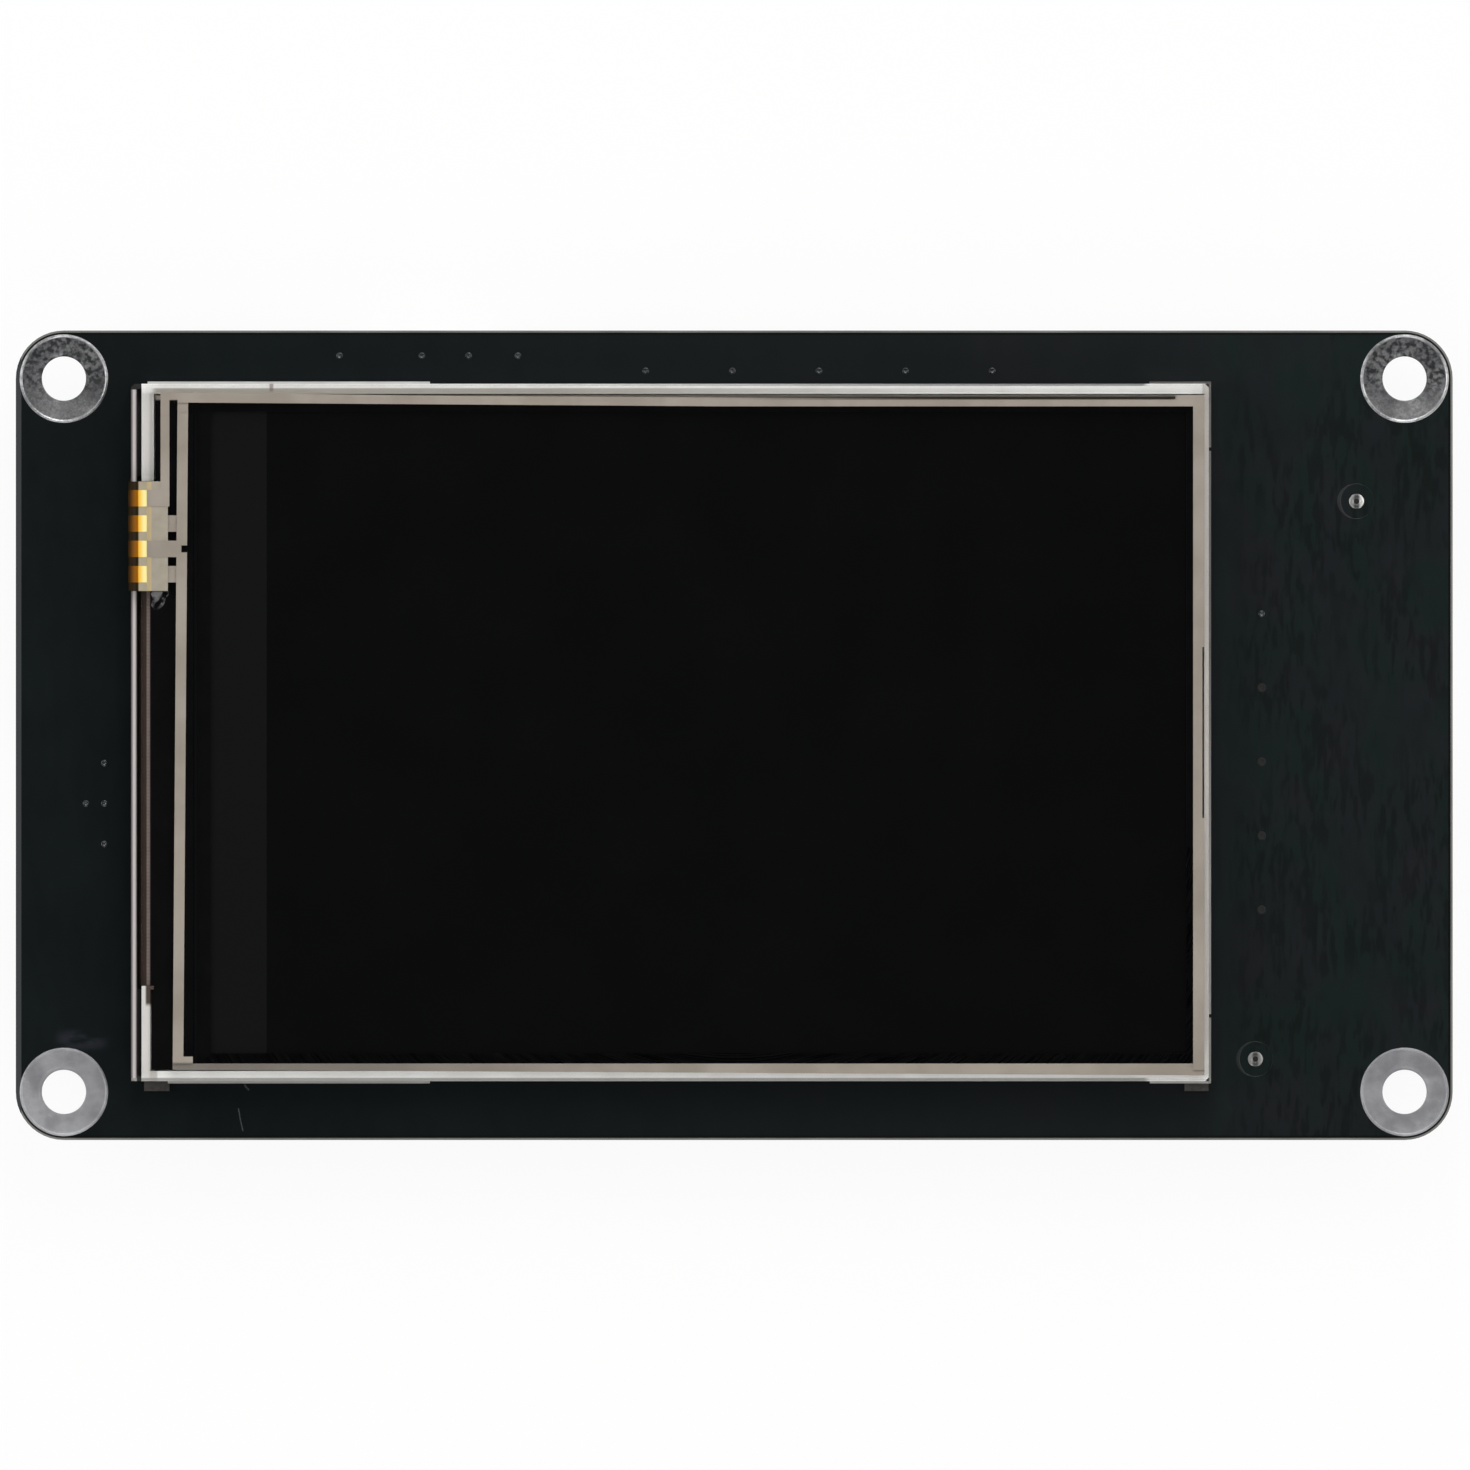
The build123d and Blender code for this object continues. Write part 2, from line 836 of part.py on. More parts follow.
def rectifier_leads():
    """Leads that leave the ends and fold down along the body to a short foot."""
    level = package_standoff + rectifier_height / 2
    half = lead_thickness / 2
    outline = Polyline(
        (0, level + half),
        (lead_thickness, level + half),
        (lead_thickness, lead_thickness),
        (rectifier_lead_foot, lead_thickness),
        (rectifier_lead_foot, 0),
        (0, 0),
        close=True,
    )
    lead = extrude(Plane.XZ * make_face(outline), amount=rectifier_lead_width / 2, both=True)
    ends = [Rot(0, 0, turn) * Pos(rectifier_length / 2, 0, 0) * lead for turn in (0, 180)]
    return group([on_rear(one, *rectifier_place) for one in ends])


def can_places():
    return [(can_place[0] + i * can_spacing, can_place[1]) for i in range(2)]


def capacitor_cans():
    """Drawn cans with a rolled groove near the base."""
    wall = can_diameter / 2
    neck = wall - can_groove_depth
    base = can_base_height
    groove = base + can_groove_height
    top = base + can_height
    section = Polyline(
        (0, base),
        (wall, base),
        (wall, groove - can_groove_depth),
        (neck, groove),
        (wall, groove + can_groove_depth),
        (wall, top),
        (0, top),
        close=True,
    )
    can = revolve(Plane.XZ * make_face(section), axis=Axis.Z)
    return group([on_rear(can, x, y) for x, y in can_places()])


def capacitor_bases():
    """Moulded bases with two cut corners that mark the polarity."""
    base = extrude(Rectangle(can_base_size, can_base_size), amount=can_base_height)
    corners = base.edges().filter_by(Axis.Z).group_by(Axis.X)[-1]
    base = chamfer(corners, can_base_chamfer)
    return group([on_rear(base, x, y) for x, y in can_places()])


def capacitor_places():
    x, y = capacitor_row_place
    return [(x + i * capacitor_pitch, y) for i in range(capacitor_count)]


def resistor_places():
    x, y = resistor_row_place
    return [(x + i * resistor_pitch, y) for i in range(resistor_count)]


def chip_middle(height):
    length = chip_part_length - 2 * chip_end_length
    return Pos(0, 0, chip_end_wall + height / 2) * Box(length, chip_part_width, height)


def chip_ends(height):
    offset = (chip_part_length - chip_end_length) / 2
    tall = height + 2 * chip_end_wall
    return [Pos(side * offset, 0, tall / 2) * Box(chip_end_length, chip_part_width, tall) for side in (-1, 1)]


def chip_capacitors():
    body = chip_middle(capacitor_height)
    return group([on_rear(body, x, y, 90) for x, y in capacitor_places()])


def chip_resistors():
    body = chip_middle(resistor_height)
    return group([on_rear(body, x, y, 90) for x, y in resistor_places()])


def chip_terminals():
    ends = []
    for x, y in capacitor_places():
        ends += [on_rear(one, x, y, 90) for one in chip_ends(capacitor_height)]
    for x, y in resistor_places():
        ends += [on_rear(one, x, y, 90) for one in chip_ends(resistor_height)]
    return group(ends)


def socket_place():
    return (board_length / 2 - socket_edge_gap - socket_depth / 2, socket_place_y)


def card_socket_base():
    """Moulded floor with side rails and a back stop, inside the sheet cover."""
    depth = socket_depth - socket_sheet
    width = socket_width - 2 * socket_sheet
    height = socket_height - socket_sheet
    block = Pos(socket_sheet / 2, 0, height / 2) * Box(depth, width, height)
    slot = Pos(socket_sheet / 2 + socket_stop, 0, socket_base_height + height / 2) * Box(
        depth, width - 2 * socket_rail_width, height
    )
    return on_rear(block - slot - contact_slots(), *socket_place())


def contact_slots():
    """Room through the back stop for the contacts."""
    pieces = contact_strips()
    slots = pieces[0]
    for piece in pieces[1:]:
        slots = slots + piece
    return slots


def contact_strips():
    """Flat springs on the floor of the socket, with solder tails behind it."""
    back = -socket_depth / 2
    front = back + contact_length
    level = socket_base_height
    outline = Polyline(
        (front, level),
        (front, level + contact_thickness),
        (back - contact_thickness, level + contact_thickness),
        (back - contact_thickness, contact_thickness),
        (back - contact_tail, contact_thickness),
        (back - contact_tail, 0),
        (back, 0),
        (back, level),
        close=True,
    )
    strip = extrude(Plane.XZ * make_face(outline), amount=contact_width / 2, both=True)
    middle = (contact_count - 1) / 2
    return [Pos(0, (i - middle) * contact_pitch, 0) * strip for i in range(contact_count)]


def card_contacts():
    return group([on_rear(one, *socket_place()) for one in contact_strips()])


def card_socket_shell():
    """Stamped cover with three walls, two spring windows and a card mouth."""
    cover = Pos(0, 0, socket_height / 2) * Box(socket_depth, socket_width, socket_height)
    room = Pos(socket_sheet, 0, (socket_height - socket_sheet) / 2) * Box(
        socket_depth, socket_width - 2 * socket_sheet, socket_height - socket_sheet
    )
    shell = cover - room
    span = (contact_count - 1) * contact_pitch + 2 * contact_width
    gap = socket_base_height + 3 * contact_thickness
    shell -= Pos(-socket_depth / 2, 0, gap / 2) * Box(4 * socket_sheet, span, gap)
    for side in (-1, 1):
        window_place = Pos(socket_depth / 5, side * socket_width / 4, socket_height)
        shell -= window_place * Box(socket_window_length, socket_window_width, 4 * socket_sheet)
    return on_rear(shell, *socket_place())


def header_width():
    return (header_pins_each - 1) * header_pitch + 2 * header_end_margin


def header_places():
    """Middle of each header and the turn that points its mouth at the board's edge."""
    x = board_length / 2 - header_edge_gap - header_depth / 2
    y = board_width / 2 - header_edge_gap - header_depth / 2
    return {
        "left_header": (-x, left_header_y, 180),
        "right_header": (x, right_header_y, 0),
        "upper_header": (upper_header_x, y, 270),
    }


def header_housing():
    """Open-mouthed housing with key slots in the roof and holes for the pins."""
    width = header_width()
    housing = Pos(0, 0, header_height / 2) * Box(header_depth, width, header_height)
    tall = header_height - header_floor - header_wall
    room = Pos(header_back, 0, header_floor + tall / 2) * Box(header_depth, width - 2 * header_wall, tall)
    housing -= room
    key = Box(header_depth, header_key_width, 3 * header_wall)
    for side in (-1, 1):
        housing -= Pos(header_back, side * (width / 4), header_height) * key
    for pin in pin_set():
        housing -= pin
    for tab in tab_set():
        housing -= tab
    return housing


def pin_set():
    """Square pins through the back wall, bent down to feet behind the housing."""
    back = -header_depth / 2
    tip = header_depth / 2 - pin_recess
    low = pin_height - pin_size / 2
    high = pin_height + pin_size / 2
    outline = Polyline(
        (tip, low),
        (tip, high),
        (back - pin_size, high),
        (back - pin_size, pin_size),
        (back - pin_foot, pin_size),
        (back - pin_foot, 0),
        (back, 0),
        (back, low),
        close=True,
    )
    pin = extrude(Plane.XZ * make_face(outline), amount=pin_size / 2, both=True)
    middle = (header_pins_each - 1) / 2
    return [Pos(0, (i - middle) * header_pitch, 0) * pin for i in range(header_pins_each)]


def tab_set():
    """Bent solder tabs let into the two sides of the housing."""
    side_face = header_width() / 2
    outline = Polyline(
        (side_face - tab_thickness, 0),
        (side_face + tab_foot, 0),
        (side_face + tab_foot, tab_thickness),
        (side_face, tab_thickness),
        (side_face, tab_height),
        (side_face - tab_thickness, tab_height),
        close=True,
    )
    tab = extrude(Plane.YZ * make_face(outline), amount=tab_length / 2, both=True)
    place = Pos(header_depth / 2 - tab_setback - tab_length / 2, 0, 0)
    return [place * tab, place * mirror(tab, about=Plane.XZ)]


def header_body(name):
    return on_rear(header_housing(), *header_places()[name])


def header_pins():
    return group([on_rear(pin, *place) for place in header_places().values() for pin in pin_set()])


def header_tabs():
    return group([on_rear(tab, *place) for place in header_places().values() for tab in tab_set()])


def touch_tape():
    hole = front_polariser.shrink(touch_tape_width)
    return ring(front_polariser, hole, mold_top, touch_tape_thickness)


def rim_tape():
    hole = chamber.inset(led_zone + ledge_width, ledge_width, ledge_width, ledge_width)
    return ring(back_polariser, hole, ledge_level, rim_tape_thickness)


parts = {
    "circuit_board": circuit_board(),
    "mounting_eyelets": mounting_eyelets(),
    "mount_tape": mount_tape(),
    "backlight_pan": backlight_pan(),
    "mold_frame": mold_frame(),
    "reflector_sheet": plate(guide, floor_level, reflector_thickness),
    "light_guide": plate(guide, guide_level, guide_thickness),
    "diffuser_sheet": plate(guide, diffuser_level, sheet_thickness),
    "prism_sheet_lower": plate(guide, lower_prism_level, sheet_thickness),
    "prism_sheet_upper": plate(guide, upper_prism_level, sheet_thickness),
    "led_strip": led_strip(),
    "backlight_leds": backlight_leds(),
    "panel_rim_tape": rim_tape(),
    "polariser_lower": plate(back_polariser, lower_polariser_level, polariser_thickness),
    "array_glass": plate(array, array_level, cell_glass_thickness),
    "filter_glass": plate(colour, filter_level, cell_glass_thickness),
    "polariser_upper": plate(front_polariser, upper_polariser_level, polariser_thickness),
    "driver_chip": driver_chip(),
    "ledge_cover": ledge_cover(),
    "display_flex": display_flex(),
    "flex_solder_pads": flex_solder_pads(),
    "touch_tape": touch_tape(),
    "touch_glass": plate(touch, touch_level, touch_glass_thickness),
    "glass_top_electrode": glass_top_electrode(),
    "glass_bottom_electrode": glass_bottom_electrode(),
    "touch_spacer": touch_spacer(),
    "film_left_electrode": film_left_electrode(),
    "film_right_electrode": film_right_electrode(),
    "touch_film": touch_film(),
    "touch_tail": touch_tail(),
    "tail_tracks": tail_tracks(),
    "processor": processor(),
    "processor_leads": processor_leads(),
    "flash_memory": flash_memory(),
    "flash_leads": flash_leads(),
    "touch_controller": touch_controller(),
    "touch_controller_leads": touch_controller_leads(),
    "regulator": regulator(),
    "regulator_leads": regulator_leads(),
    "crystal": crystal(),
    "power_inductor": power_inductor(),
    "inductor_terminals": inductor_terminals(),
    "rectifier": rectifier(),
    "rectifier_leads": rectifier_leads(),
    "capacitor_cans": capacitor_cans(),
    "capacitor_bases": capacitor_bases(),
    "chip_capacitors": chip_capacitors(),
    "chip_resistors": chip_resistors(),
    "chip_terminals": chip_terminals(),
    "card_socket_base": card_socket_base(),
    "card_socket_shell": card_socket_shell(),
    "card_contacts": card_contacts(),
    "left_header": header_body("left_header"),
    "right_header": header_body("right_header"),
    "upper_header": header_body("upper_header"),
    "header_pins": header_pins(),
    "header_tabs": header_tabs(),
}

os.makedirs("parts", exist_ok=True)
for name, piece in parts.items():
    export_step(piece, "parts/" + name + ".step")
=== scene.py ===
"""Looks of a display module: a panel with a printed touch screen on a black carrier board.

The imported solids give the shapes. New pieces are worked out here as grids of points in millimetres,
in the same frame: the display faces +Z and the rear face of the board is Z = 0.
"""
import json
import math

import bmesh
import bpy
import numpy as np
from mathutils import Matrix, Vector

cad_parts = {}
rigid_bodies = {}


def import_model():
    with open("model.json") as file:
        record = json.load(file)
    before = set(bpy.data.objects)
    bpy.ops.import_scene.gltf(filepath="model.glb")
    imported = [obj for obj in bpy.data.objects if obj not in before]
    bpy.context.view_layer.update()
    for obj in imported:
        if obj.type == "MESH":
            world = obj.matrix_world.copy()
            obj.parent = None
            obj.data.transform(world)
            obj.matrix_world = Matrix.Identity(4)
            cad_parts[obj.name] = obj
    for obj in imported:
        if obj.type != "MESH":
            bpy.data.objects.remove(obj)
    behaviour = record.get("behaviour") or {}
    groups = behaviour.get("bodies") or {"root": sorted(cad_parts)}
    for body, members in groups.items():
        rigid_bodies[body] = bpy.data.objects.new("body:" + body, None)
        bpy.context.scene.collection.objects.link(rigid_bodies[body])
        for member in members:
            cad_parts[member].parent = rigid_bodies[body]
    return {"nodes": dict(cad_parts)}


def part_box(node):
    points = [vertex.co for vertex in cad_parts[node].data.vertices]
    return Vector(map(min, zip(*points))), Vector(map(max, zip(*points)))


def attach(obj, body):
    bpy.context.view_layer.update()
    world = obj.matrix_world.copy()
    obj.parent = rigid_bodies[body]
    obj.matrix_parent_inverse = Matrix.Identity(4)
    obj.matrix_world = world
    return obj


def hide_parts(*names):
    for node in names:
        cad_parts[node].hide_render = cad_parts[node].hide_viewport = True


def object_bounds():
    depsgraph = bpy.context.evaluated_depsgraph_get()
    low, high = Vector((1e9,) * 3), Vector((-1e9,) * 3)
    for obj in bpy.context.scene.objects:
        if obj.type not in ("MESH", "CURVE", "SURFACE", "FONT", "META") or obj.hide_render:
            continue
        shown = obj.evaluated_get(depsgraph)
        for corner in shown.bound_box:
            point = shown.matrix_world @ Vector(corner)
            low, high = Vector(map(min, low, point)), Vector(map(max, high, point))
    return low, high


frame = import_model()
nodes = frame["nodes"]
cad_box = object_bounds()

MM = 0.001
BOARD_TOP = 1.6
BOARD_HALF = (56.8, 32.0)
BOARD_CORNER = 3.8
BOTH_FACES = ((BOARD_TOP, 1), (0, -1))
HOLE_AT = (53.0, 28.2)
BORE_RADIUS = 1.75
RING_RADIUS = 3.5
TEST_HOLES = ((49.2, 18.5), (41.2, -25.6))
PANEL_Y = 0.22
TAIL_Y = 15.72
FINGERS_Y = (18.72, 16.72, 14.72, 12.72)
CANS = ((-38.5, -18.5), (-31.0, -18.5))


# Points into meshes


def quads(rows, cols):
    """Corner numbers of the quads of a grid whose points are numbered row by row."""
    n = np.arange(rows * cols).reshape(rows, cols)
    return np.stack([n[:-1, :-1], n[1:, :-1], n[1:, 1:], n[:-1, 1:]], -1).reshape(-1, 4)


def shell(grids, caps=()):
    """One closed skin of grids (rows, columns, xyz) and flat caps (points, xyz), merged where they meet.

    A quad that loses a corner at a pole becomes a triangle.
    """
    points = np.concatenate([np.asarray(g, float).reshape(-1, 3) for g in [*grids, *caps]])
    key = np.round(points * 2e4).astype(np.int64)
    _, first, back = np.unique(key, axis=0, return_index=True, return_inverse=True)
    back = back.reshape(-1)
    start, faces = 0, []
    for g in grids:
        rows, cols = g.shape[:2]
        q = back[quads(rows, cols) + start]
        same = q == np.roll(q, -1, 1)
        faces += q[~same.any(1)].tolist()
        for side in range(4):
            faces += np.delete(q[same[:, side] & (same.sum(1) == 1)], side, 1).tolist()
        start += rows * cols
    for c in caps:
        faces.append(back[np.arange(len(c)) + start].tolist())
        start += len(c)
    return points[first], faces


def piece(name, shells, look, stands_for=(), crease=35):
    """A mesh object of several skins, with its normals outwards, riding on the module."""
    points, faces, start = [], [], 0
    for p, f in shells:
        points.append(p)
        faces += [[i + start for i in one] for one in f]
        start += len(p)
    mesh = bpy.data.meshes.new(name)
    mesh.from_pydata((np.concatenate(points) * MM).tolist(), [], faces)
    bm = bmesh.new()
    bm.from_mesh(mesh)
    bmesh.ops.recalc_face_normals(bm, faces=bm.faces)
    bm.to_mesh(mesh)
    bm.free()
    mesh.polygons.foreach_set("use_smooth", np.ones(len(mesh.polygons), bool))
    mesh.set_sharp_from_angle(angle=math.radians(crease))
    mesh.materials.append(looks[look])
    made = bpy.data.objects.new(name, mesh)
    bpy.context.scene.collection.objects.link(made)
    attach(made, "root")
    if stands_for:
        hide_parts(*stands_for)


# Shapes


def mottle(x, y, seed, size):
    """Uneven height from about -1 to 1: the mean of fourteen plane waves of about the given size in mm."""
    rng = np.random.default_rng(seed)
    turn, phase = rng.uniform(0, 2 * np.pi, (2, 14))
    k = 2 * np.pi / (size * rng.uniform(0.6, 1.7, 14))
    x, y = np.asarray(x)[..., None], np.asarray(y)[..., None]
    return 2.2 * np.sin(k * (x * np.cos(turn) + y * np.sin(turn)) + phase).mean(-1)


def turned(radius, height, x, y, steps, lift=None):
    """A profile turned about an upright axis: (x + r cos u, y + r sin u, z + lift(x, y, r))."""
    u = np.linspace(0, 2 * np.pi, steps + 1)
    r, z = np.asarray(radius, float)[:, None], np.asarray(height, float)[:, None]
    px, py, pz = x + r * np.cos(u), y + r * np.sin(u), z + 0 * u
    if lift is not None:
        pz = pz + lift(px, py, r)
    return np.stack([px, py, pz], -1)


def carried(section, path, across, out):
    """A closed section carried along a path: path + s across + t out, with both ends capped."""
    s = np.vstack([section, section[:1]])
    g = path[:, None] + s[None, :, :1] * across[:, None] + s[None, :, 1:] * out[:, None]
    return shell([g], [g[0, :-1], g[-1, :-1]])


def fold_line(points, radii, steps=18):
    """A line in X and Z with rounded corners.

    Each corner is centre - n r cos a + d r sin a, and turns from the direction d to e.
    """
    p = np.asarray(points, float)
    line = [p[:1]]
    for corner, before, after, r in zip(p[1:-1], p[:-2], p[2:], radii):
        d = (corner - before) / np.linalg.norm(corner - before)
        e = (after - corner) / np.linalg.norm(after - corner)
        turn = np.arccos(np.clip(d @ e, -1, 1))
        n = (e - (d @ e) * d) / np.sin(turn)
        centre = corner - d * r * np.tan(turn / 2) + n * r
        a = np.linspace(0, turn, steps)[:, None]
        line.append(centre - n * r * np.cos(a) + d * r * np.sin(a))
    line.append(p[-1:])
    return np.concatenate(line)


def folded_strip(points, radii, thickness, width, y):
    """A flat strip with softened edges that follows a fold line, at the height y across the module."""
    line = fold_line(points, radii)
    along = np.gradient(line, axis=0)
    along /= np.linalg.norm(along, axis=1, keepdims=True)
    flat = np.zeros(len(line))
    path = np.stack([line[:, 0], flat + y, line[:, 1]], -1)
    across = np.stack([flat, flat + 1, flat], -1)
    out = np.stack([-along[:, 1], flat, along[:, 0]], -1)
    h, w, c = thickness / 2, width / 2, thickness / 5
    lower = [(-w, -h + c), (-w + c, -h), (w - c, -h), (w, -h + c)]
    upper = [(-s, -t) for s, t in lower]
    return carried(np.array(lower + upper), path, across, out)


def moved_in(loop, by):
    """A closed loop of corners, counter-clockwise, moved inwards.

    Each corner moves by (n + m) / (1 + n.m), with n and m the normals of its two edges.
    """
    e = np.roll(loop, -1, 0) - loop
    n = np.stack([-e[:, 1], e[:, 0]], -1) / np.linalg.norm(e, axis=1, keepdims=True)
    m = np.roll(n, 1, 0)
    return loop + by * (n + m) / (1 + (n * m).sum(1, keepdims=True))


def level(loop, z):
    """A flat loop set at the height z."""
    return np.column_stack([loop, np.full(len(loop), z)])


def stacked(loops):
    """A closed skin of loops one above the other, capped at both ends."""
    rows = np.stack(loops)
    return shell([np.concatenate([rows, rows[:, :1]], 1)], [rows[0], rows[-1]])


def ridge(points, width, height, z, way):
    """A low ridge with sloped sides along a bent line: p + s m, with m the mitred normal, rising by t."""
    p = np.asarray(points, float)
    e = np.diff(p, axis=0)
    n = np.stack([-e[:, 1], e[:, 0]], -1) / np.linalg.norm(e, axis=1, keepdims=True)
    a, b = np.vstack([n[:1], n]), np.vstack([n, n[-1:]])
    m = (a + b) / (1 + (a * b).sum(1, keepdims=True))
    flat = np.zeros((len(p), 1))
    w = width / 2
    slope = min(height, 0.3 * w)
    section = np.array([(-w, 0), (-w + slope, height), (w - slope, height), (w, 0)])
    out = np.hstack([flat, flat, flat + way])
    return carried(section, level(p, z), np.hstack([m, flat]), out)


def dome(x, y, a, b, height, z, way, bend=1.0, steps=18):
    """A low dome or fillet on an oval foot: (a s cos u, b s sin u), as high as (1 - s^2)^bend."""
    s = np.linspace(0, 1, 7)[:, None]
    u = np.linspace(0, 2 * np.pi, steps + 1)
    h = way * height * (1 - s * s) ** bend
    g = np.stack([x + a * s * np.cos(u), y + b * s * np.sin(u), z + h + 0 * u], -1)
    return shell([g], [g[-1, :-1]])


# Finishes


def tone(r, g, b):
    """A colour as read on a screen, from 0 to 255, as light values."""
    c = np.array([r, g, b]) / 255
    return (*np.where(c < 0.04045, c / 12.92, ((c + 0.055) / 1.055) ** 2.4), 1.0)


class Value:
    """An output of a shader node. An expression on values adds its Math nodes."""

    def __init__(self, tree, socket):
        self.tree = tree
        self.socket = socket

    def apply(self, operation, *parts):
        """A Math node on values and numbers."""
        return self.tree.node("ShaderNodeMath", {"operation": operation}, dict(enumerate(parts)))

    def __add__(self, other):
        return self.apply("ADD", self, other)

    def __sub__(self, other):
        return self.apply("SUBTRACT", self, other)

    def __rsub__(self, other):
        return self.apply("SUBTRACT", other, self)

    def __mul__(self, other):
        return self.apply("MULTIPLY", self, other)

    def __pow__(self, other):
        return self.apply("POWER", self, other)

    def __abs__(self):
        return self.apply("ABSOLUTE", self)

    def at_least(self, other):
        return self.apply("MAXIMUM", self, other)

    def at_most(self, other):
        return self.apply("MINIMUM", self, other)

    __radd__ = __add__
    __rmul__ = __mul__


def pick(sockets, key):
    """A socket by its number, its identifier or its name."""
    if isinstance(key, int):
        return sockets[key]
    return next(s for s in sockets if key in (s.identifier, s.name))


class Tree:
    """A node tree, and the one way to add a node to it."""

    def __init__(self, tree):
        self.tree = tree

    def node(self, kind, settings=(), sockets=(), output=0):
        """A node of a type: its settings first, then the values or links of its sockets."""
        made = self.tree.nodes.new(kind)
        for key, value in dict(settings).items():
            setattr(made, key, value)
        for key, value in dict(sockets).items():
            self.put(pick(made.inputs, key), value)
        return Value(self, pick(made.outputs, output))

    def put(self, socket, value):
        """A link or a fixed value into a socket."""
        if isinstance(value, Value):
            self.tree.links.new(value.socket, socket)
        else:
            socket.default_value = value

    def parts(self, vector):
        """The X, Y and Z of a vector."""
        return [self.node("ShaderNodeSeparateXYZ", sockets={0: vector}, output=i) for i in range(3)]

    def mix(self, share, first, second):
        """Colours mixed by a share from 0 to 1."""
        values = {"Factor_Float": share, "A_Color": first, "B_Color": second}
        return self.node("ShaderNodeMix", {"data_type": "RGBA"}, values, "Result_Color")

    def rise(self, value, low, high):
        """A smooth step from 0 at low to 1 at high."""
        values = {"Value": value, "From Min": low, "From Max": high}
        return self.node("ShaderNodeMapRange", {"interpolation_type": "SMOOTHSTEP"}, values)

    def band(self, value, low, high, soft):
        """1 between low and high, with soft ends."""
        return self.rise(value, low - soft, low + soft) * self.rise(value, high + soft, high - soft)

    def between(self, share, low, high):
        """A number that goes evenly from low to high with a share from 0 to 1."""
        return low + (high - low) * share


class Finish(Tree):
    """A material whose patterns are read from the place of a point in millimetres."""

    def __init__(self, name, **fixed):
        self.material = bpy.data.materials.new(name)
        self.material.use_nodes = True
        super().__init__(self.material.node_tree)
        self.shader = self.tree.nodes["Principled BSDF"]
        spot = self.node("ShaderNodeTexCoord", output="Object")
        self.place = self.node("ShaderNodeVectorMath", {"operation": "SCALE"}, {0: spot, "Scale": 1 / MM})
        self.x, self.y, self.z = self.parts(self.place)
        self.set({key.replace("_", " "): value for key, value in fixed.items()})

    def set(self, sockets):
        """Links or values into the sockets of the surface shader."""
        for key, value in sockets.items():
            self.put(self.shader.inputs[key], value)

    def noise(self, size, detail=2.0, stretch=(1, 1, 1)):
        """Uneven values from 0 to 1 with grains of about the given size in mm."""
        scale = tuple(1 / (size * s) for s in stretch)
        at = self.node("ShaderNodeVectorMath", {"operation": "MULTIPLY"}, {0: self.place, 1: scale})
        return self.node("ShaderNodeTexNoise", {}, {"Vector": at, "Scale": 1.0, "Detail": detail}, "Fac")

    def wave(self, direction, scale, distortion):
        """Even bands across a direction, from 0 to 1."""
        values = {"Vector": self.place, "Scale": scale, "Distortion": distortion}
        return self.node("ShaderNodeTexWave", {"bands_direction": direction}, values, "Fac")

    def bump(self, height, depth, strength=0.5):
        """Relief from a height of 0 to 1 over a depth in mm."""
        values = {"Height": height, "Strength": strength, "Distance": depth * MM}
        self.set({"Normal": self.node("ShaderNodeBump", {}, values)})


def drifting(name, first, second, grain, rough, metal=0.0, stretch=(1, 1, 1), relief=0.01, **fixed):
    """A finish that drifts between two tones over grains of a size in mm, with that grain in its sheen."""
    t = Finish(name, Metallic=metal, **fixed)
    coarse = t.noise(grain, 3, stretch)
    fine = t.noise(grain / 6, 2, stretch)
    share = t.rise(coarse * 0.65 + fine * 0.35, 0.3, 0.7)
    t.set({"Base Color": t.mix(share, first, second), "Roughness": t.between(fine, *rough)})
    t.bump(fine * 0.7 + coarse * 0.3, relief)
    return t.material


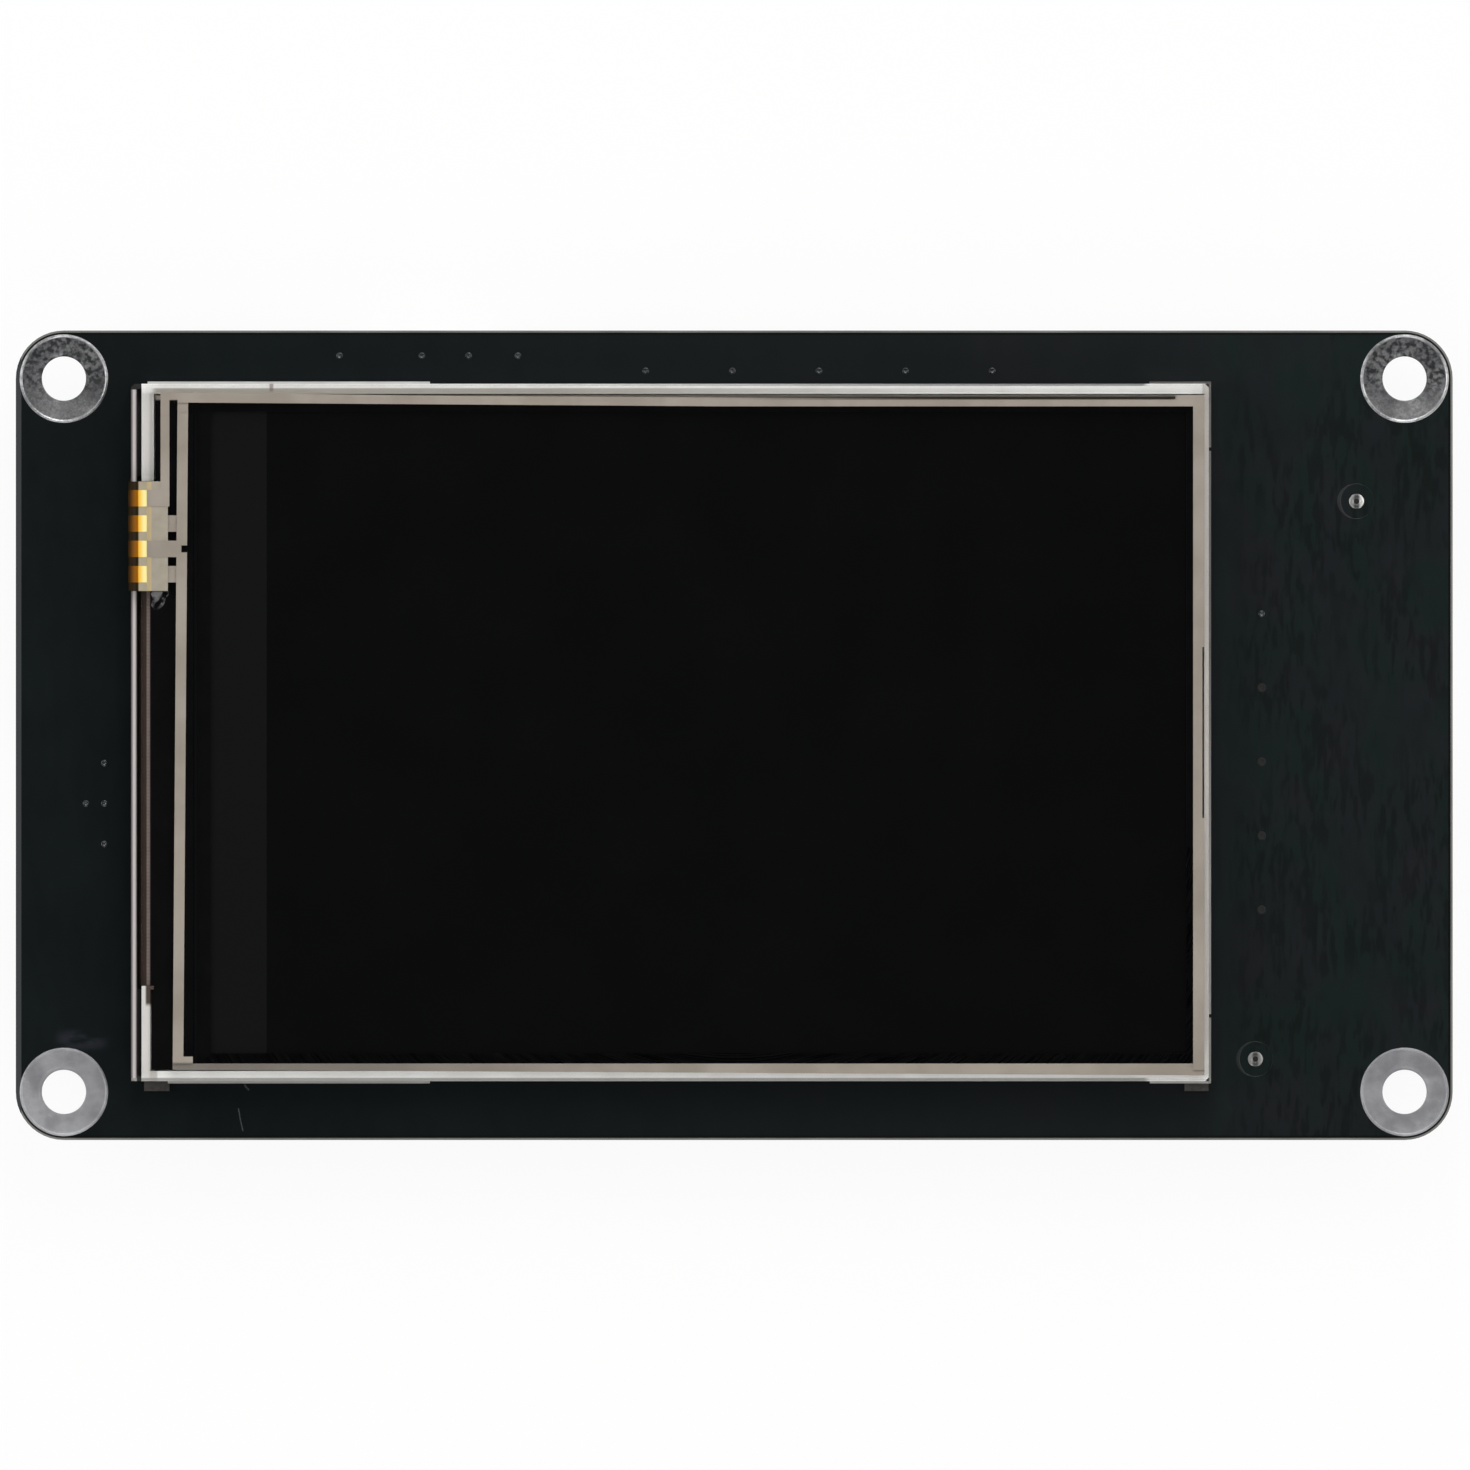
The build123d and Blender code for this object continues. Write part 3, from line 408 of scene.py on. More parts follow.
def mask_finish(name, painted_highlight=0.0):
    """Black solder mask over woven laminate, with the bare laminate at the rim. A painted reflection makes
    it paler towards the right and a little towards the top, and a painted highlight lightens its left edge.
    """
    t = Finish(name)
    qx = abs(t.x) - (BOARD_HALF[0] - BOARD_CORNER)
    qy = abs(t.y) - (BOARD_HALF[1] - BOARD_CORNER)
    px, py = qx.at_least(0), qy.at_least(0)
    inside = BOARD_CORNER - (px * px + py * py) ** 0.5 - qx.at_least(qy).at_most(0)
    cloud = t.noise(9, 3)
    speck = t.noise(0.9, 3, (1, 2.6, 1))
    runs = t.noise(0.45, 2, (1, 4.5, 1))
    streaks = t.rise(runs, 0.46, 0.6) * t.rise(t.x, 37, 42) * t.rise(t.noise(8), 0.3, 0.55)
    # Painted reflection: the mask is paler towards the right and a little towards the top.
    base = t.mix(t.rise(t.x + t.y * 0.35, -60, 60), tone(13, 18, 19), tone(26, 29, 31))
    base = t.mix(t.rise(cloud, 0.35, 0.7) * 0.5, base, tone(17, 24, 24))
    patches = t.rise(t.noise(3.4, 2, (1, 1.7, 1)), 0.42, 0.6) * t.rise(t.x, 36, 40)
    base = t.mix(patches * 0.8, base, tone(19, 30, 28))
    base = t.mix(streaks * 0.55, base, tone(11, 14, 14))
    smudge = t.rise(t.noise(1.2, 3, (2.4, 1, 1)), 0.42, 0.66)
    smudge = smudge * t.band(t.x, -53.2, -50.0, 0.9) * t.band(t.y, -24.7, -23.5, 0.5)
    base = t.mix(smudge * 0.4, base, tone(66, 66, 78))
    # Painted highlight: a lighter tone for the raised copy of the mask.
    base = t.mix(painted_highlight, base, tone(70, 72, 72))
    line = t.rise(inside, 0.4, 0.28) * t.rise(t.x, -56.0, -55.0)
    base = t.mix(line * 0.8, base, tone(6, 7, 7))
    # Painted highlight: a lighter strip along the left edge of the board, where the light falls.
    lit_left_edge = t.rise(t.x, -56.33, -56.4)
    base = t.mix(lit_left_edge, base, tone(60, 62, 64))
    layers = t.noise(0.12, 1, (40, 40, 1))
    laminate = t.mix(layers, tone(92, 92, 88), tone(136, 136, 132))
    base = t.mix(t.rise(inside, 0.2, 0.12) * (1 - lit_left_edge), base, laminate)
    weave = t.wave("X", 0.55, 0.6)
    weft = t.wave("Y", 0.5, 0.6)
    t.set({"Base Color": base, "Roughness": 0.3 + 0.1 * speck, "Specular IOR Level": 0.17})
    t.bump(weave * weft * 0.5 + t.noise(0.35) * 0.5, 0.004, 0.35)
    return t.material


def tin_finish(name):
    """Hot-tinned copper, mottled and matte. Painted shade darkens the corner rings inside their rim, the
    upper rings much more and most towards the top; painted light makes the lower rings on the front lighter
    and more even, lightest towards their outer lower side.
    """
    t = Finish(name, Metallic=0.75)
    rx, ry = abs(t.x) - HOLE_AT[0], abs(t.y) - HOLE_AT[1]
    r = (rx * rx + ry * ry) ** 0.5
    upper = t.rise(t.y, -1, 1)
    cloud = t.noise(0.42, 3)
    grain = t.noise(0.16, 1)
    wash = t.noise(2.2, 2)
    mottled = t.rise(cloud * 0.35 + grain * 0.2 + wash * 0.45, 0.38, 0.62)
    base = t.mix(mottled, tone(138, 138, 140), tone(202, 202, 203))
    # Painted light: the lower rings on the front are lighter and more even, lightest towards their outer
    # lower side.
    even = t.rise(cloud * 0.2 + grain * 0.1 + wash * 0.7, 0.36, 0.64)
    lit_lower_ring = t.mix(even, tone(150, 150, 153), tone(188, 188, 190))
    lit_lower_ring = t.mix(t.rise(rx * 0.5 - t.y * 0.4, 10.2, 13.6), t.mix(0.3, lit_lower_ring, tone(120, 120, 126)), lit_lower_ring)
    base = t.mix((1 - upper) * t.rise(t.z, 0.6, 1.0), base, lit_lower_ring)
    # Painted shade: the rings darken inside their rim, the upper rings much more, most towards the top.
    shade = 0.15 + upper * (0.45 + 0.38 * t.rise(t.y, 25.4, 28.6))
    ring_shade = t.rise(r, 3.34, 3.2) * shade * (0.5 + 0.5 * t.rise(cloud, 0.32, 0.64))
    base = t.mix(ring_shade, base, tone(44, 45, 47))
    bead = t.rise(r, 3.2, 3.3) * upper
    t.set({"Base Color": base, "Roughness": 0.5 + 0.16 * grain - 0.1 * upper - 0.16 * bead})
    t.bump(cloud * 0.7 + grain * 0.3, 0.05, 0.55)
    return t.material


def lit_test_ring_finish(name):
    """Tinned rings of the test holes with painted light: a painted highlight on their sides, brightest at
    the upper one's right, and painted shade across their top and bottom.
    """
    t = Finish(name, Metallic=0.6)
    grain = t.noise(0.25, 2)
    (x, _), (other, _) = TEST_HOLES
    off = abs(t.x - (x + other) / 2) - (x - other) / 2
    # Painted highlight on the sides of the rings, brightest at the upper ring's right; painted shade at the
    # top and bottom of each ring.
    brightest_side = t.rise(off, 0, 0.25) * t.rise(t.y, -4, 4)
    bright = t.mix(brightest_side, tone(174, 174, 172), tone(242, 241, 238))
    base = t.mix(t.rise(abs(off), 0.1, 0.36) * (0.75 + 0.25 * grain), tone(80, 80, 78), bright)
    t.set({"Base Color": base, "Roughness": 0.3 + 0.2 * grain})
    t.bump(grain, 0.02)
    return t.material


def moulding_finish(name):
    """White frame plastic. Painted shade greys the outer left wall and the inner top edge, and painted
    shadow blackens the groove at the left and the upper left corner.
    """
    t = Finish(name, Roughness=0.55)
    cloud = t.noise(3.0, 3)
    base = t.mix(t.rise(cloud, 0.3, 0.7), tone(232, 230, 226), tone(242, 241, 238))
    # Painted shade: the outer left wall is dark grey and its crest a paler grey than the white frame.
    shaded_outer_wall = t.rise(t.x, -47.1, -47.2)
    base = t.mix(shaded_outer_wall * 0.95, base, tone(88, 82, 80))
    crest = t.band(t.x, -47.53, -47.29, 0.05)
    base = t.mix(crest, base, tone(192, 184, 182))
    right_wall = t.rise(t.x, 36.9, 37.1) * t.rise(t.y, -28.5, -23)
    base = t.mix(right_wall, base, tone(196, 190, 184))
    below_top = t.rise(t.y, 27.2, 26.9)
    base = t.mix(t.band(t.x, -46.9, -45.6, 0.1) * below_top, base, tone(214, 211, 206))
    base = t.mix(t.band(t.x, -46.2, -45.6, 0.14) * below_top, base, tone(192, 188, 182))
    stain = t.rise(t.x, -46.6, -46.4) * t.rise(t.y, -21.5, -21.1).at_least(t.rise(t.y, -20.5, -20.3))
    base = t.mix(stain * t.rise(t.x, -45.5, -45.7) * t.rise(t.y, -18, -19), base, tone(70, 56, 48))
    # Painted shade: a greyish beige along the inner top edge, strongest towards the left.
    top_edge_shade = t.band(t.y, 26.8, 27.42, 0.07) * t.rise(t.x, 30, -20) * t.rise(t.x, -46.2, -45.6)
    base = t.mix(top_edge_shade * 0.85, base, tone(158, 151, 140))
    seam = t.band(t.y, 26.98, 27.1, 0.03) * t.band(t.x, -45.2, -42.7, 0.1) * 0.6
    base = t.mix(seam, base, tone(62, 58, 48))
    # Greyer along the outer top edge, more towards the right.
    grey_top_rim = t.rise(t.y, 27.56, 27.64) * t.rise(t.x, -30, 24) * t.rise(t.x, 32.8, 32.2)
    base = t.mix(grey_top_rim * 0.95, base, tone(128, 128, 128))
    lip = t.rise(t.y, -27.02, -27.12) * t.rise(t.x, 32.9, 32.3)
    base = t.mix(lip * 0.8, base, tone(140, 138, 134))
    tick = t.band(t.x, -36.72, -36.42, 0.08) * t.rise(t.y, 27.0, 27.3)
    base = t.mix(tick * 0.7, base, tone(124, 104, 106))
    # Painted shadow: near black deep in the groove at the left and at its upper and lower ends, and in the
    # upper left corner.
    ends = t.rise(abs(t.y - PANEL_Y), 26.95, 27.1)
    groove = t.band(t.x, -47.19, -46.84, 0.02) * t.rise(t.z, 4.26, 4.1).at_least(ends)
    corner = t.rise(t.x, -46.8, -46.86) * t.rise(t.y, 27.28, 27.34)
    base = t.mix(groove.at_least(corner), base, tone(15, 14, 13))
    t.set({"Base Color": base})
    t.bump(t.noise(0.2), 0.006)
    return t.material


def ink_finish(name):
    """Printed silver ink: warm grey, fine-grained, darker along the lower left."""
    t = Finish(name, Roughness=0.6)
    cloud = t.noise(4.0, 3)
    grain = t.noise(0.15, 2)
    base = t.mix(t.rise(cloud, 0.3, 0.7), tone(143, 133, 121), tone(159, 149, 138))
    # Darker along the lower left.
    thin = t.rise(t.y, -25.7, -26.0) * t.rise(t.x, 5, -42)
    base = t.mix(thin * 0.62, base, tone(60, 59, 55))
    base = t.mix(grain * 0.25, base, tone(140, 134, 124))
    edge = t.rise(t.y, 26.46, 26.54) * t.rise(t.x, -5, 14) * t.rise(t.x, 35.2, 34.4)
    base = t.mix(edge * 0.8, base, tone(50, 48, 44))
    t.set({"Base Color": base})
    t.bump(grain, 0.008)
    return t.material


def steel_finish(name):
    """Thin bright sheet, brushed along its length, greyer on its top edges at the right and upper right.
    Painted shade greys its lower part, and painted shadow blackens the top of its left rim and upper left
    corner, and a gap at the upper left.
    """
    t = Finish(name, Metallic=0.55)
    brush = t.noise(0.12, 2, (14, 14, 1))
    base = t.mix(brush, tone(204, 204, 202), tone(222, 222, 220))
    # Painted shade: the lower part of the sheet is greyer.
    base = t.mix(t.rise(t.y, -20, -27) * t.rise(t.z, 1.7, 1.9), base, tone(186, 184, 180))
    # Painted shadow: near black on the top of the left rim and upper left corner, and in a gap at the upper
    # left.
    top = t.rise(t.z, 3.88, 3.96)
    corner = t.rise(t.x, -46.9, -46.95) * t.rise(t.y, 27.25, 27.32)
    rim = top * t.rise(t.x, -47.62, -47.68).at_least(corner)
    gap_shadow = t.rise(t.x, -47.1, -47.2) * t.rise(t.y, 27.3, 27.4)
    base = t.mix(rim.at_least(gap_shadow), base, tone(14, 14, 14))
    side = t.rise(t.x, 37.4, 37.48) * (0.45 + 0.35 * t.rise(t.y, -14, 8))
    tab = t.rise(t.x, 30, 32) * t.rise(t.y, 27.76, 27.8)
    base = t.mix(top * side.at_least(tab * 0.9), base, tone(84, 82, 80))
    t.set({"Base Color": base, "Roughness": 0.34 + 0.2 * brush})
    t.bump(brush, 0.004)
    return t.material


def polariser_finish(name):
    """Black front film, a shade paler outside the picture area on the left."""
    t = Finish(name, IOR=1.5)
    edge = t.rise(t.x, -36.9, -36.98)
    haze = t.noise(6, 2)
    base = t.mix(edge, tone(3, 3, 3), tone(17, 17, 17))
    base = t.mix(haze * 0.25, base, tone(6, 6, 6))
    t.set({"Base Color": base, "Roughness": 0.16 + 0.06 * haze})
    return t.material


def rim_finish(name, first, second, rough, gloss):
    """Black film or glass, greyed along its upper edge, with painted shade darkening the lower part of that
    grey towards the right.
    """
    t = Finish(name, Specular_IOR_Level=gloss)
    cloud = t.noise(1.6, 3)
    # Painted shade: the grey band is darker on its lower part towards the right.
    slot_shade = t.rise(t.x, -18, 18) * t.rise(t.y, 26.84, 26.7)
    grey = t.mix(slot_shade, tone(146, 139, 129), tone(62, 58, 52))
    t.set({"Base Color": t.mix(t.rise(t.y, 26.4, 26.6) * 0.9, t.mix(cloud, first, second), grey)})
    t.set({"Roughness": t.between(cloud, *rough)})
    return t.material


def clear_finish(name):
    """A clear layer: almost nothing over its face, and a grey line where its cut edge shows."""
    t = Finish(name, Roughness=0.08, IOR=1.5)
    face, sides = 0.012, 0.5
    up = abs(t.parts(t.node("ShaderNodeNewGeometry", output="Normal"))[2])
    base = t.mix(up, tone(152, 168, 162), tone(70, 72, 72))
    t.set({"Base Color": base, "Alpha": t.between(t.rise(up, 0.6, 0.25), face, sides)})
    return t.material


def tail_finish(name):
    """Amber film, dark on the fold and seen as warm grey where it is bonded under the clear film."""
    t = Finish(name, Specular_IOR_Level=0.08)
    cloud = t.noise(0.7, 3)
    fold = t.mix(cloud, tone(20, 13, 0), tone(44, 29, 2))
    base = t.mix(t.rise(t.x, -47.12, -46.98), fold, tone(166, 156, 136))
    base = t.mix(t.band(t.x, -46.42, -46.03, 0.04), base, tone(186, 168, 130))
    base = t.mix(t.rise(t.x, -46.06, -45.98), base, t.mix(cloud, tone(150, 143, 128), tone(170, 162, 148)))
    t.set({"Base Color": base, "Roughness": 0.3 + 0.2 * cloud})
    t.bump(cloud, 0.006)
    return t.material


def track_finish(name):
    """Gilt tracks, amber under the cover of the fold. A painted highlight makes them bright gold to near
    white on the flat beside the bend and lightens the amber towards the top of the bend.
    """
    t = Finish(name, Specular_IOR_Level=0.08)
    cloud = t.noise(0.4, 3)
    # Painted highlight: bright gold to near white on the flat beside the bend, and a lighter amber towards
    # the top of the bend.
    flat = t.mix(t.rise(t.x, -47.0, -46.6), tone(245, 190, 70), tone(255, 236, 160))
    fold = t.mix(cloud, tone(44, 26, 0), tone(66, 40, 1))
    fold = t.mix(t.rise(t.x, -47.8, -47.2), fold, tone(140, 84, 3))
    base = t.mix(t.rise(t.x, -47.14, -47.0), fold, flat)
    t.set({"Base Color": base, "Roughness": 0.35 + 0.15 * cloud})
    t.bump(cloud, 0.006)
    return t.material


def flex_finish(name):
    """Brown flex with fine copper lines along it, darker round the fold."""
    t = Finish(name, Specular_IOR_Level=0.15)
    lines = t.wave("Y", 1.1, 0.1)
    cloud = t.noise(1.5, 3)
    fold = t.rise(t.x, -46.38, -46.48)
    base = t.mix(cloud * 0.6 + lines * 0.4, tone(100, 88, 82), tone(132, 118, 112))
    base = t.mix(t.rise(t.x, -46.2, -46.12) * t.rise(t.z, 3.2, 3.6), base, tone(12, 11, 11))
    base = t.mix(fold, base, t.mix(cloud, tone(40, 28, 21), tone(62, 47, 39)))
    t.set({"Base Color": base, "Roughness": 0.4 + 0.2 * cloud})
    t.bump(lines * 0.6 + cloud * 0.4, 0.01)
    return t.material


def can_finish(name):
    """Drawn aluminium with turning marks, and a dark segment printed on the end of each can."""
    t = Finish(name, Metallic=0.85)
    brush = t.noise(0.1, 2, (20, 20, 1))
    base = t.mix(brush, tone(186, 187, 190), tone(218, 219, 221))
    top = t.rise(t.z, -5.2, -5.26)
    for x, y in CANS:
        near = t.rise(abs(t.x - x).at_least(abs(t.y - y)), 2.6, 2.5)
        base = t.mix(top * near * t.rise(t.x - x, 0.98, 1.04), base, tone(24, 25, 28))
    t.set({"Base Color": base, "Roughness": 0.3 + 0.18 * brush})
    t.bump(brush, 0.004)
    return t.material


def glue_finish(name):
    """Dried glue: patchy, greyish white and thinning downwards."""
    t = Finish(name, Roughness=0.5)
    cloud = t.noise(0.45, 3, (1, 1.5, 1))
    t.set({"Base Color": t.mix(cloud, tone(110, 106, 110), tone(176, 172, 174))})
    t.set({"Alpha": t.rise(cloud, 0.38, 0.62) * t.rise(t.y, 9.7, 11.2) * 0.8})
    t.bump(cloud, 0.02)
    return t.material


def ceramic_finish(name, first, second, rough):
    """Fired ceramic blocks with faint layers parallel to the board and fine pores."""
    t = Finish(name)
    layers = t.noise(0.09, 1, (30, 30, 1))
    pores = t.noise(0.11, 2)
    base = t.mix(layers * 0.6 + pores * 0.4, first, second)
    t.set({"Base Color": base, "Roughness": t.between(pores, *rough)})
    t.bump(pores, 0.008)
    return t.material


# Even finishes: two tones, the grain in mm, the range of roughness and what else differs
BRUSHED = {"metal": 0.9, "relief": 0.004}
DRIFTING = {
    "foam_tape": ((52, 50, 48), (70, 68, 66), 0.5, (0.85, 0.95), {"relief": 0.05}),
    "socket_steel": ((176, 177, 178), (212, 213, 213), 0.5, (0.28, 0.45), {**BRUSHED, "stretch": (9, 1, 1)}),
    "header_nylon": ((226, 222, 208), (238, 235, 224), 2.5, (0.45, 0.6), {"Subsurface_Weight": 0.05}),
    "reflector_film": ((232, 233, 235), (246, 247, 249), 4.0, (0.1, 0.2), {"metal": 0.3}),
    "clear_sheet": ((222, 226, 230), (238, 241, 244), 3.0, (0.15, 0.3), {}),
    "lamp_body": ((240, 236, 196), (248, 245, 216), 0.6, (0.4, 0.55), {}),
    "silicon": ((60, 62, 70), (76, 78, 86), 1.2, (0.12, 0.2), {"metal": 0.4}),
    "chip_moulding": ((25, 25, 27), (38, 38, 40), 0.25, (0.55, 0.75), {"relief": 0.02}),
    "tinned_lead": ((168, 168, 167), (206, 206, 205), 0.35, (0.3, 0.5), {"metal": 0.85, "relief": 0.012}),
    "drawn_metal": ((190, 190, 188), (216, 216, 214), 0.4, (0.25, 0.4), {**BRUSHED, "stretch": (1, 7, 1)}),
    "ferrite": ((52, 52, 54), (74, 74, 75), 0.2, (0.7, 0.9), {"relief": 0.03}),
    "gold_contact": ((214, 170, 84), (236, 198, 116), 0.4, (0.25, 0.4), {"metal": 0.9}),
    "legend_ink": ((206, 206, 202), (228, 228, 224), 0.3, (0.6, 0.8), {"relief": 0.008}),
    "dull_via": ((38, 41, 42), (92, 95, 95), 0.2, (0.22, 0.36), {"metal": 0.9, "relief": 0.02}),
    "dark_hole": ((5, 5, 5), (9, 9, 8), 0.2, (0.7, 0.9), {}),
    "scuff": ((28, 31, 32), (64, 66, 67), 0.5, (0.5, 0.7), {}),
}
# Finishes that change with the place on the module
PLACED = {
    "solder_mask": mask_finish,
    "tinned_copper": tin_finish,
    "lit_test_ring_tin": lit_test_ring_finish,
    "steel_sheet": steel_finish,
    "white_moulding": moulding_finish,
    "polariser_film": polariser_finish,
    "clear_film": clear_finish,
    "silver_ink": ink_finish,
    "brown_flex": flex_finish,
    "amber_flex": tail_finish,
    "gold_track": track_finish,
    "can_metal": can_finish,
    "glue": glue_finish,
}
looks = {name: make(name) for name, make in PLACED.items()}
for name, (first, second, grain, rough, more) in DRIFTING.items():
    looks[name] = drifting(name, tone(*first), tone(*second), grain, rough, **more)
# The mask over the rear tracks and the steps round the test holes is a lighter copy: a painted highlight.
looks["raised_mask"] = mask_finish("raised_mask", 0.3)
looks["black_tape"] = rim_finish("black_tape", tone(5, 5, 5), tone(9, 9, 9), (0.25, 0.4), 0.1)
looks["cell_glass"] = rim_finish("cell_glass", tone(12, 13, 14), tone(17, 18, 20), (0.08, 0.14), 0.5)
for name, first, second, rough in (
    ("capacitor_ceramic", (156, 122, 88), (182, 148, 112), (0.35, 0.5)),
    ("resistor_ceramic", (22, 22, 24), (36, 36, 38), (0.25, 0.4)),
):
    looks[name] = ceramic_finish(name, tone(*first), tone(*second), rough)

TOUCH_LAYERS = ["touch_film", "touch_glass", "touch_spacer"]
DRESSED = {
    "solder_mask": ["circuit_board"],
    "tinned_copper": ["flex_solder_pads"],
    "foam_tape": ["mount_tape"],
    "steel_sheet": ["backlight_pan"],
    "socket_steel": ["card_socket_shell"],
    "white_moulding": ["mold_frame"],
    "header_nylon": ["left_header", "right_header", "upper_header"],
    "reflector_film": ["reflector_sheet"],
    "clear_sheet": ["light_guide", "diffuser_sheet", "prism_sheet_lower", "prism_sheet_upper"],
    "black_tape": ["panel_rim_tape", "ledge_cover", "touch_tape"],
    "polariser_film": ["polariser_lower", "polariser_upper"],
    "cell_glass": ["array_glass", "filter_glass"],
    "clear_film": TOUCH_LAYERS,
    "silver_ink": [
        "glass_top_electrode", "glass_bottom_electrode",
        "film_left_electrode", "film_right_electrode",
    ],
    "brown_flex": ["display_flex", "led_strip"],
    "amber_flex": ["touch_tail"],
    "gold_track": ["tail_tracks"],
    "lamp_body": ["backlight_leds"],
    "silicon": ["driver_chip"],
    "chip_moulding": [
        "processor", "flash_memory", "touch_controller", "regulator", "rectifier",
        "capacitor_bases", "card_socket_base",
    ],
    "tinned_lead": [
        "processor_leads", "flash_leads", "touch_controller_leads", "regulator_leads", "rectifier_leads",
        "inductor_terminals", "chip_terminals", "header_pins", "header_tabs", "mounting_eyelets",
    ],
    "drawn_metal": ["crystal"],
    "can_metal": ["capacitor_cans"],
    "ferrite": ["power_inductor"],
    "capacitor_ceramic": ["chip_capacitors"],
    "resistor_ceramic": ["chip_resistors"],
    "gold_contact": ["card_contacts"],
}
for look, members in DRESSED.items():
    for member in members:
        nodes[member].data.materials.clear()
        nodes[member].data.materials.append(looks[look])


# Front of the board


def corner_ring(x, y, seed):
    """A tinned barrel and its two rings.

    Each ring is a crown with a rolled lip at the bore and a raised rim, both bell curves, unevenly tinned.
    """
    t = np.concatenate([np.linspace(0, 0.82, 20), np.linspace(0.84, 1, 14)])
    r = BORE_RADIUS + (RING_RADIUS - BORE_RADIUS) * t
    lip = 0.04 * np.exp(-(((t - 0.05) / 0.07) ** 2))
    rim = 0.06 * np.exp(-(((t - 0.93) / 0.04) ** 2))
    crown = (0.03 + lip + rim) * np.sqrt(1 - t**30)

    def uneven(px, py, pr):
        depth = np.clip((pr - 1.8) / 0.3, 0, 1) * np.clip((3.45 - pr) / 0.3, 0, 1)
        return 0.016 * depth * mottle(px, py, seed, 0.9)

    def sunk(px, py, pr):
        return -uneven(px, py, pr)

    front = turned(r, BOARD_TOP + crown, x, y, 96, uneven)
    rear = turned(r, -crown, x, y, 96, sunk)
    bore_z = np.linspace(BOARD_TOP + crown[0], -crown[0], 8)
    bore = turned(np.full(8, BORE_RADIUS), bore_z, x, y, 96)
    inner = BORE_RADIUS + 0.05
    seat = turned([RING_RADIUS, inner, inner, RING_RADIUS], [BOARD_TOP, BOARD_TOP, 0, 0], x, y, 96)
    return shell([front, bore, rear, seat])


rings = [corner_ring(i * HOLE_AT[0], j * HOLE_AT[1], 11 + 3 * i + j) for i in (-1, 1) for j in (-1, 1)]
piece("corner_solder_rings", rings, "tinned_copper", ["mounting_eyelets"], 50)

bare_vias = [(x, 30.0) for x in (-31.2, -24.7, -21.0, -17.1)]
bare_vias += [(-7.0 + 6.85 * i, 28.8) for i in range(5)]
bare_vias += [(41.7, 9.6), (-49.8, -2.2), (-49.8, -5.4), (-49.8, -8.6), (-51.25, -5.4)]
covered_vias = [(41.7, y) for y in (3.75, -2.1, -7.95, -13.8)]


def via_ring(x, y, z, way, outer, bore):
    """A plated ring with a rounded top and a dished middle."""
    r = np.array([0, 0.55 * bore, bore, 1.25 * bore, 0.6 * outer, 0.85 * outer, 0.96 * outer, outer])
    h = np.array([0.012, 0.014, 0.03, 0.045, 0.05, 0.044, 0.025, 0.0])
    g = turned(r, z + way * h, x, y, 22)
    return shell([g], [g[-1, :-1]])


front_vias = [via_ring(x, y, BOARD_TOP, 1, 0.27, 0.11) for x, y in bare_vias]
piece("front_vias", front_vias, "dull_via")
filled_vias = [via_ring(x, y, BOARD_TOP, 1, 0.36, 0.16) for x, y in covered_vias]
piece("covered_vias", filled_vias, "dark_hole")


def test_ring(x, y, z, way):
    """A plated ring round a small hole, its section half an oval."""
    a = np.linspace(0, np.pi, 9)
    r = 0.4 + 0.2 * np.cos(a)
    g = turned(np.append(r, r[0]), z + way * np.append(0.08 * np.sin(a), 0), x, y, 32)
    return shell([g])


test_rings = [test_ring(x, y, z, way) for x, y in TEST_HOLES for z, way in BOTH_FACES]
piece("test_hole_rings", test_rings, "lit_test_ring_tin")
wells = [dome(x, y, 0.21, 0.21, 0.012, z, way) for x, y in TEST_HOLES for z, way in BOTH_FACES]
piece("test_hole_wells", wells, "dark_hole")


def halo(x, y):
    """A thin step in the mask round a test hole, widest at the left.

    Its half width at the angle u is 0.012 + 0.13 ((1 - cos u) / 2)^3.
    """
    a = np.append(np.linspace(0, np.pi, 5), 0)[:, None]
    u = np.linspace(0, 2 * np.pi, 41)
    r = 1.38 + (0.012 + 0.13 * ((1 - np.cos(u)) / 2) ** 3) * np.cos(a)
    z = BOARD_TOP + 0.025 * np.sin(a) + 0 * u
    return shell([np.stack([x + r * np.cos(u), y + r * np.sin(u), z], -1)])


piece("test_hole_halos", [halo(x, y) for x, y in TEST_HOLES], "raised_mask")
scuffs = [
    ridge([(-38.72, -27.6), (-38.6, -27.8), (-38.36, -28.05)], 0.14, 0.03, BOARD_TOP, 1),
    ridge([(-39.2, -29.5), (-39.05, -30.4), (-38.84, -31.3)], 0.1, 0.012, BOARD_TOP, 1),
]
piece("board_scuffs", scuffs, "scuff")


# Touch panel layers, folded tail and display flex


def touch_laminate():
    """Film bonded to glass as one clear skin: the outline at each height, drawn in at bond and edges.

    The film has a notch at the tail, and the glass runs straight past it.
    """
    left, bottom, low = (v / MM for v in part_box("touch_glass")[0])
    right, top, high = (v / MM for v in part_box("touch_film")[1])
    half, notch = 4.325, 0.42
    corners = [(left, bottom), (right, bottom), (right, top), (left, top)]
    straight = [(left, TAIL_Y + s) for s in (half, half - 0.1, 0.1 - half, -half)]
    notched = [(left + d, TAIL_Y + s) for d, s in ((0, half), (notch, half), (notch, -half), (0, -half))]
    glass = np.array(corners + straight)
    film = np.array(corners + notched)
    glass_edge = [(0.08, low), (0.0, low + 0.08), (0.0, 5.17), (0.08, 5.25), (0.12, 5.3)]
    film_edge = [(0.12, 5.4), (0.0, 5.46), (0.0, high - 0.05), (0.015, high - 0.015), (0.05, high)]
    loops = [level(moved_in(glass, s), z) for s, z in glass_edge]
    loops += [level(moved_in(film, s), z) for s, z in film_edge]
    return stacked(loops)


piece("touch_laminate", [touch_laminate()], "clear_film", TOUCH_LAYERS, 12)

